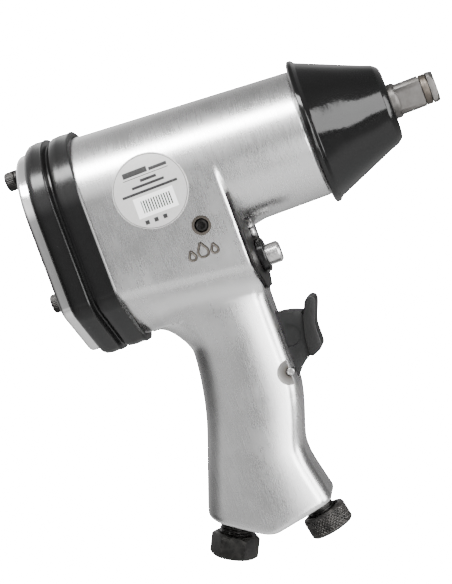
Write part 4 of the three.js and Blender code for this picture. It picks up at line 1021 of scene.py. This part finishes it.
def black_oxide(name, tone, rough):
    """Blackened steel: a dark coat that shows bare metal in fine specks."""
    s = Surface(name, Metallic=0.85)
    coat = s.noise(300, 4)
    specks = s.noise(5200, 2)
    colour = s.mix(s.span(coat, 0, 1), grey(tone, 0.02), grey(tone * 1.9, 0.05))
    colour = s.mix(s.span(specks, 0, 0.5, 0.66, 0.82), colour, grey(tone * 5, 0.03))
    roughness = s.sum(s.span(coat, rough, rough + 0.16), s.span(specks, 0, 0.06))
    return s.finish(colour, roughness, s.sum(coat, specks), 0.01)


def moulded_plastic(name, tone, rough):
    """Fine spark-eroded grain, with shinier worn patches."""
    s = Surface(name, Specular_IOR_Level=0.3)
    grain = s.node("TexVoronoi", {"Vector": s.place, "Scale": 2600.0}).outputs["Distance"]
    masks = s.noise(140, 4)
    colour = s.mix(s.span(masks, 0, 1, 0.35, 0.7), grey(tone, -0.01), grey(tone * 1.35, -0.01))
    roughness = s.sum(s.span(masks, rough, rough - 0.14), s.times(grain, 0.12))
    return s.finish(colour, roughness, s.sum(grain, s.times(s.noise(900), 0.6)), 0.035)


def soft_rubber(name, tone):
    s = Surface(name, Specular_IOR_Level=0.3)
    grain = s.noise(1800, 3)
    colour = s.mix(s.span(s.noise(260), 0, 1), grey(tone), grey(tone * 1.7, 0.01))
    return s.finish(colour, s.span(grain, 0.55, 0.75), grain, 0.02)


def composite(name):
    """Phenolic vane board with cloth layers."""
    s = Surface(name, Specular_IOR_Level=0.4)
    inputs = {"Vector": s.place, "Scale": 900, "Distortion": 1.5, "Detail": 2.0}
    layers = s.node("TexWave", inputs).outputs["Fac"]
    colour = s.mix(layers, (0.16, 0.085, 0.045, 1), (0.24, 0.14, 0.075, 1))
    return s.finish(colour, s.span(s.noise(700), 0.4, 0.6), layers, 0.015)


STRIPE_PITCH = 1.15
LABEL_BARS = [  # left, right, low, high, from the label's centre
    (-9.2, 1.6, 8.2, 10.6), (2.4, 10.4, 8.2, 9.6), (-9.6, 10.6, 7.1, 7.4), (-2.6, 4.6, 4.8, 6),
    (-7, 7.4, 2.7, 3.8), (-12.2, 12.4, 0.2, 1.3), (-6.6, -4.8, -13, -11.2), (-2.6, -0.8, -13, -11.2),
    (1.4, 3.2, -13, -11.2),
]


def label_print(name):
    """A pale printed sticker: a rim line, a white patch and plain bars in place of its print."""
    s = Surface(name, Specular_IOR_Level=0.4)
    x, _, z = middle("name_label") * MM
    split = s.node("SeparateXYZ", {"Vector": s.place})
    across = s.sum(split.outputs["X"], -x)
    up = s.sum(split.outputs["Z"], -z)
    radius = s.maths("SQRT", s.sum(s.times(across, across), s.times(up, up)))

    def band(value, low, high):
        """1 where the value is between low and high, in millimetres."""
        return s.times(s.maths("GREATER_THAN", value, low * MM), s.maths("LESS_THAN", value, high * MM))

    def patch(left, right, low, high):
        return s.times(band(across, left, right), band(up, low, high))

    paper = s.mix(s.span(s.noise(900), 0, 1), grey(0.36, 0.015), grey(0.4, 0.01))
    paper = s.mix(patch(-8.4, 9.4, -9.8, -1), paper, grey(0.78))
    stripes = s.maths("SINE", s.times(across, 2 * math.pi / (STRIPE_PITCH * MM)))
    stripes = s.maths("GREATER_THAN", stripes)
    ink = s.sum(band(radius, 15.55, 15.8), s.times(stripes, patch(-5.6, 7.8, -8.2, -2.8)))
    for bar_ink in LABEL_BARS:
        ink = s.sum(ink, patch(*bar_ink))
    colour = s.mix(ink, paper, grey(0.012))
    scuff = s.noise(1, 4, (1500, 300, 600), 0.7)
    colour = s.mix(s.span(scuff, 0, 0.25, 0.6, 0.8), colour, grey(0.3))
    return s.finish(colour, s.span(scuff, 0.32, 0.5), s.noise(1400), 0.006)


MATERIALS = {
    "cast_aluminium": aluminium("cast aluminium", 0.74, 0.235),
    "boot_black": glossy_rubber("boot black", 0.003, 0.11, 2),
    "rib_black": glossy_rubber("rib black", 0.004, 0.2, 0.3),
    "anvil_steel": machined("anvil steel", 0.12, 0.04, 0.36, (1800, 500, 500), 0.7, 0.01),
    "bright_steel": machined("bright steel", 0.62, 0.01, 0.2),
    "black_oxide": black_oxide("black oxide", 0.016, 0.3),
    "knurled_steel": black_oxide("knurled steel", 0.032, 0.26),
    "trigger_plastic": moulded_plastic("trigger plastic", 0.004, 0.48),
    "bronze": machined("bronze", 0.42, 0.28, 0.32),
    "rubber": soft_rubber("seal rubber", 0.012),
    "vane_composite": composite("vane board"),
    "label_white": label_print("label"),
}
POLISHED_COVER = aluminium("polished aluminium", 0.82, 0.12)
RETAINER_BROWN = machined("oiled ring steel", 0.1, 0.12, 0.34)


def paint(obj, material):
    obj.data.materials.clear()
    obj.data.materials.append(material)


def dress(obj, node, material=None):
    """Names a piece, gives it its finish, and lets it stand for its CAD node."""
    obj.name = "detailed_" + node
    paint(obj, material or MATERIALS[SLOT_OF[node]])
    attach(obj, BODY_OF[node])
    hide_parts(node)


def build_tool():
    body = casting()
    mark_wear(body)
    dress(body, "motor_housing")
    dress(rear_cover(), "rear_cover", POLISHED_COVER)
    dress(split_ring("retainer_ring", 0.7), "retainer_ring", RETAINER_BROWN)
    makers = (
        nose_boot, anvil, rear_bumper, reverse_gland, reverse_spool, exhaust_deflector, deflector_screw,
        oil_plug, name_label, trigger, trigger_pin, inlet_bushing, regulator_stem, regulator_knob,
        retainer_o_ring,
    )
    for make in makers:
        dress(make(), make.__name__)
    for i in range(1, 5):
        dress(cover_screw(i), f"cover_screw_{i}")
        washer = f"spring_washer_{i}"
        dress(split_ring(washer, 0.35, 0.12), washer)
    spring = throttle_spring()
    dress(spring, "throttle_spring")
    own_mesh(spring)
    for name, node in frame["nodes"].items():
        paint(node, MATERIALS[SLOT_OF[name]])


# ---- camera and lights

CAMERA_TURNS = (8, 2, 20.4)  # yaw, pitch and roll in degrees
CAMERA_TARGET = (-116.58, 0, -52.45)
CAMERA_DISTANCE = 619.5
CAMERA_LENS = 86.3


def camera():
    """A long lens on the tool's left side, rolled so that the drive points up to the right."""
    yaw, pitch, roll = (math.radians(a) for a in CAMERA_TURNS)
    back = Vector((math.sin(yaw) * math.cos(pitch), -math.cos(yaw) * math.cos(pitch), math.sin(pitch)))
    right = (-back).cross(Vector((0, 0, 1))).normalized()
    up = right.cross(-back)
    right, up = (right * math.cos(roll) - up * math.sin(roll), right * math.sin(roll) + up * math.cos(roll))
    data = bpy.data.cameras.new("camera")
    data.lens = CAMERA_LENS
    data.sensor_width = 36
    data.clip_start = 0.01
    obj = add("camera", data)
    turn = Matrix((right, up, back)).transposed().to_4x4()
    place = (Vector(CAMERA_TARGET) + back * CAMERA_DISTANCE) * MM
    obj.matrix_world = Matrix.Translation(place) @ turn
    bpy.context.scene.camera = obj


LIGHT_TARGET = (-0.105, 0, -0.05)


def soft_light(name, place, size, power):
    """A rectangular softbox that faces the tool; places are in metres."""
    data = bpy.data.lights.new(name, "AREA")
    data.shape = "RECTANGLE"
    data.size, data.size_y = size
    data.energy = power
    place = Vector(place)
    turn = (place - Vector(LIGHT_TARGET)).to_track_quat("Z", "Y").to_matrix().to_4x4()
    add(name, data).matrix_world = Matrix.Translation(place) @ turn


HEIGHT_TONES = [  # the surround's brightness from straight below (0) to above (1)
    (0, 0.5), (0.03, 0.55), (0.11, 0.45), (0.17, 0.36), (0.26, 0.3), (0.4, 0.25), (0.46, 0.16),
    (0.5, 0.11), (0.545, 0.14), (0.6, 0.3), (0.68, 0.6), (0.78, 0.55), (0.9, 0.27), (1, 0.24),
]
LENGTH_TONES = [  # and from the rear (0) to the front (1)
    (0, 0.2), (0.05, 0.4), (0.12, 0.9), (0.26, 1.2), (0.36, 1.15), (0.42, 0.95), (0.465, 0.42),
    (0.53, 0.36), (0.6, 0.55), (0.75, 0.4), (1, 0.25),
]
SURROUND = 2.8
WHITE = 40.0  # bright enough to come out white


def tone_ramp(tree, value, tones):
    """A grey that follows a direction's part along one axis, from -1 to 1."""
    place = new_node(tree, "MapRange", {"Value": value, "From Min": -1})
    ramp = new_node(tree, "ValToRGB", {0: place.outputs[0]})
    stops = ramp.color_ramp.elements
    stops[0].position, stops[0].color = tones[0][0], grey(tones[0][1])
    stops[1].position, stops[1].color = tones[-1][0], grey(tones[-1][1])
    for position, tone in tones[1:-1]:
        stops.new(position).color = grey(tone)
    return ramp.outputs[0]


def white_when_seen(tree, lit, result):
    """Shows plain white to the camera, and lights the tool with the given shader."""
    seen = new_node(tree, "Emission" if result == "OutputMaterial" else "Background", {"Strength": WHITE})
    camera_ray = new_node(tree, "LightPath").outputs["Is Camera Ray"]
    share = new_node(tree, "MixShader", {0: camera_ray, 1: lit.outputs[0], 2: seen.outputs[0]})
    new_node(tree, result, {0: share.outputs[0]})


def world():
    """White to the camera; a grey surround, dark towards the rear, lights the metal."""
    made = bpy.data.worlds.new("studio")
    made.use_nodes = True
    tree = made.node_tree
    tree.nodes.clear()
    place = new_node(tree, "TexCoord").outputs["Generated"]
    direction = new_node(tree, "SeparateXYZ", {0: place}).outputs
    height = tone_ramp(tree, direction["Z"], HEIGHT_TONES)
    length = tone_ramp(tree, direction["X"], LENGTH_TONES)
    product = new_node(tree, "VectorMath", {0: height, 1: length}, operation="MULTIPLY")
    lit = new_node(tree, "Background", {0: product.outputs[0], "Strength": SURROUND})
    white_when_seen(tree, lit, "OutputWorld")
    bpy.context.scene.world = made


FLOOR_DEPTH = -700
FLOOR_HALF = 1500
FLOOR_TONE = 0.45


def floor():
    """A plain pale floor well below the tool, which the camera sees as white as the surround."""
    signs = ((-1, -1), (1, -1), (1, 1), (-1, 1))
    obj = mesh_object("floor", [(x * FLOOR_HALF, y * FLOOR_HALF, FLOOR_DEPTH) for x, y in signs], [range(4)])
    material = bpy.data.materials.new("floor white")
    material.use_nodes = True
    tree = material.node_tree
    tree.nodes.clear()
    pale = new_node(tree, "BsdfDiffuse", {"Color": grey(FLOOR_TONE)})
    white_when_seen(tree, pale, "OutputMaterial")
    obj.data.materials.append(material)


build_tool()
camera()
world()
floor()
soft_light("top softbox", (-0.32, -0.55, 0.86), (1.1, 0.3), 32)
soft_light("front softbox", (0.5, -0.74, 0.14), (0.58, 0.7), 12.5)
soft_light("front strip", (0.85, -0.3, -0.1), (0.4, 0.7), 9)
soft_light("handle softbox", (0.33, -0.93, -0.28), (0.56, 0.5), 6.5)
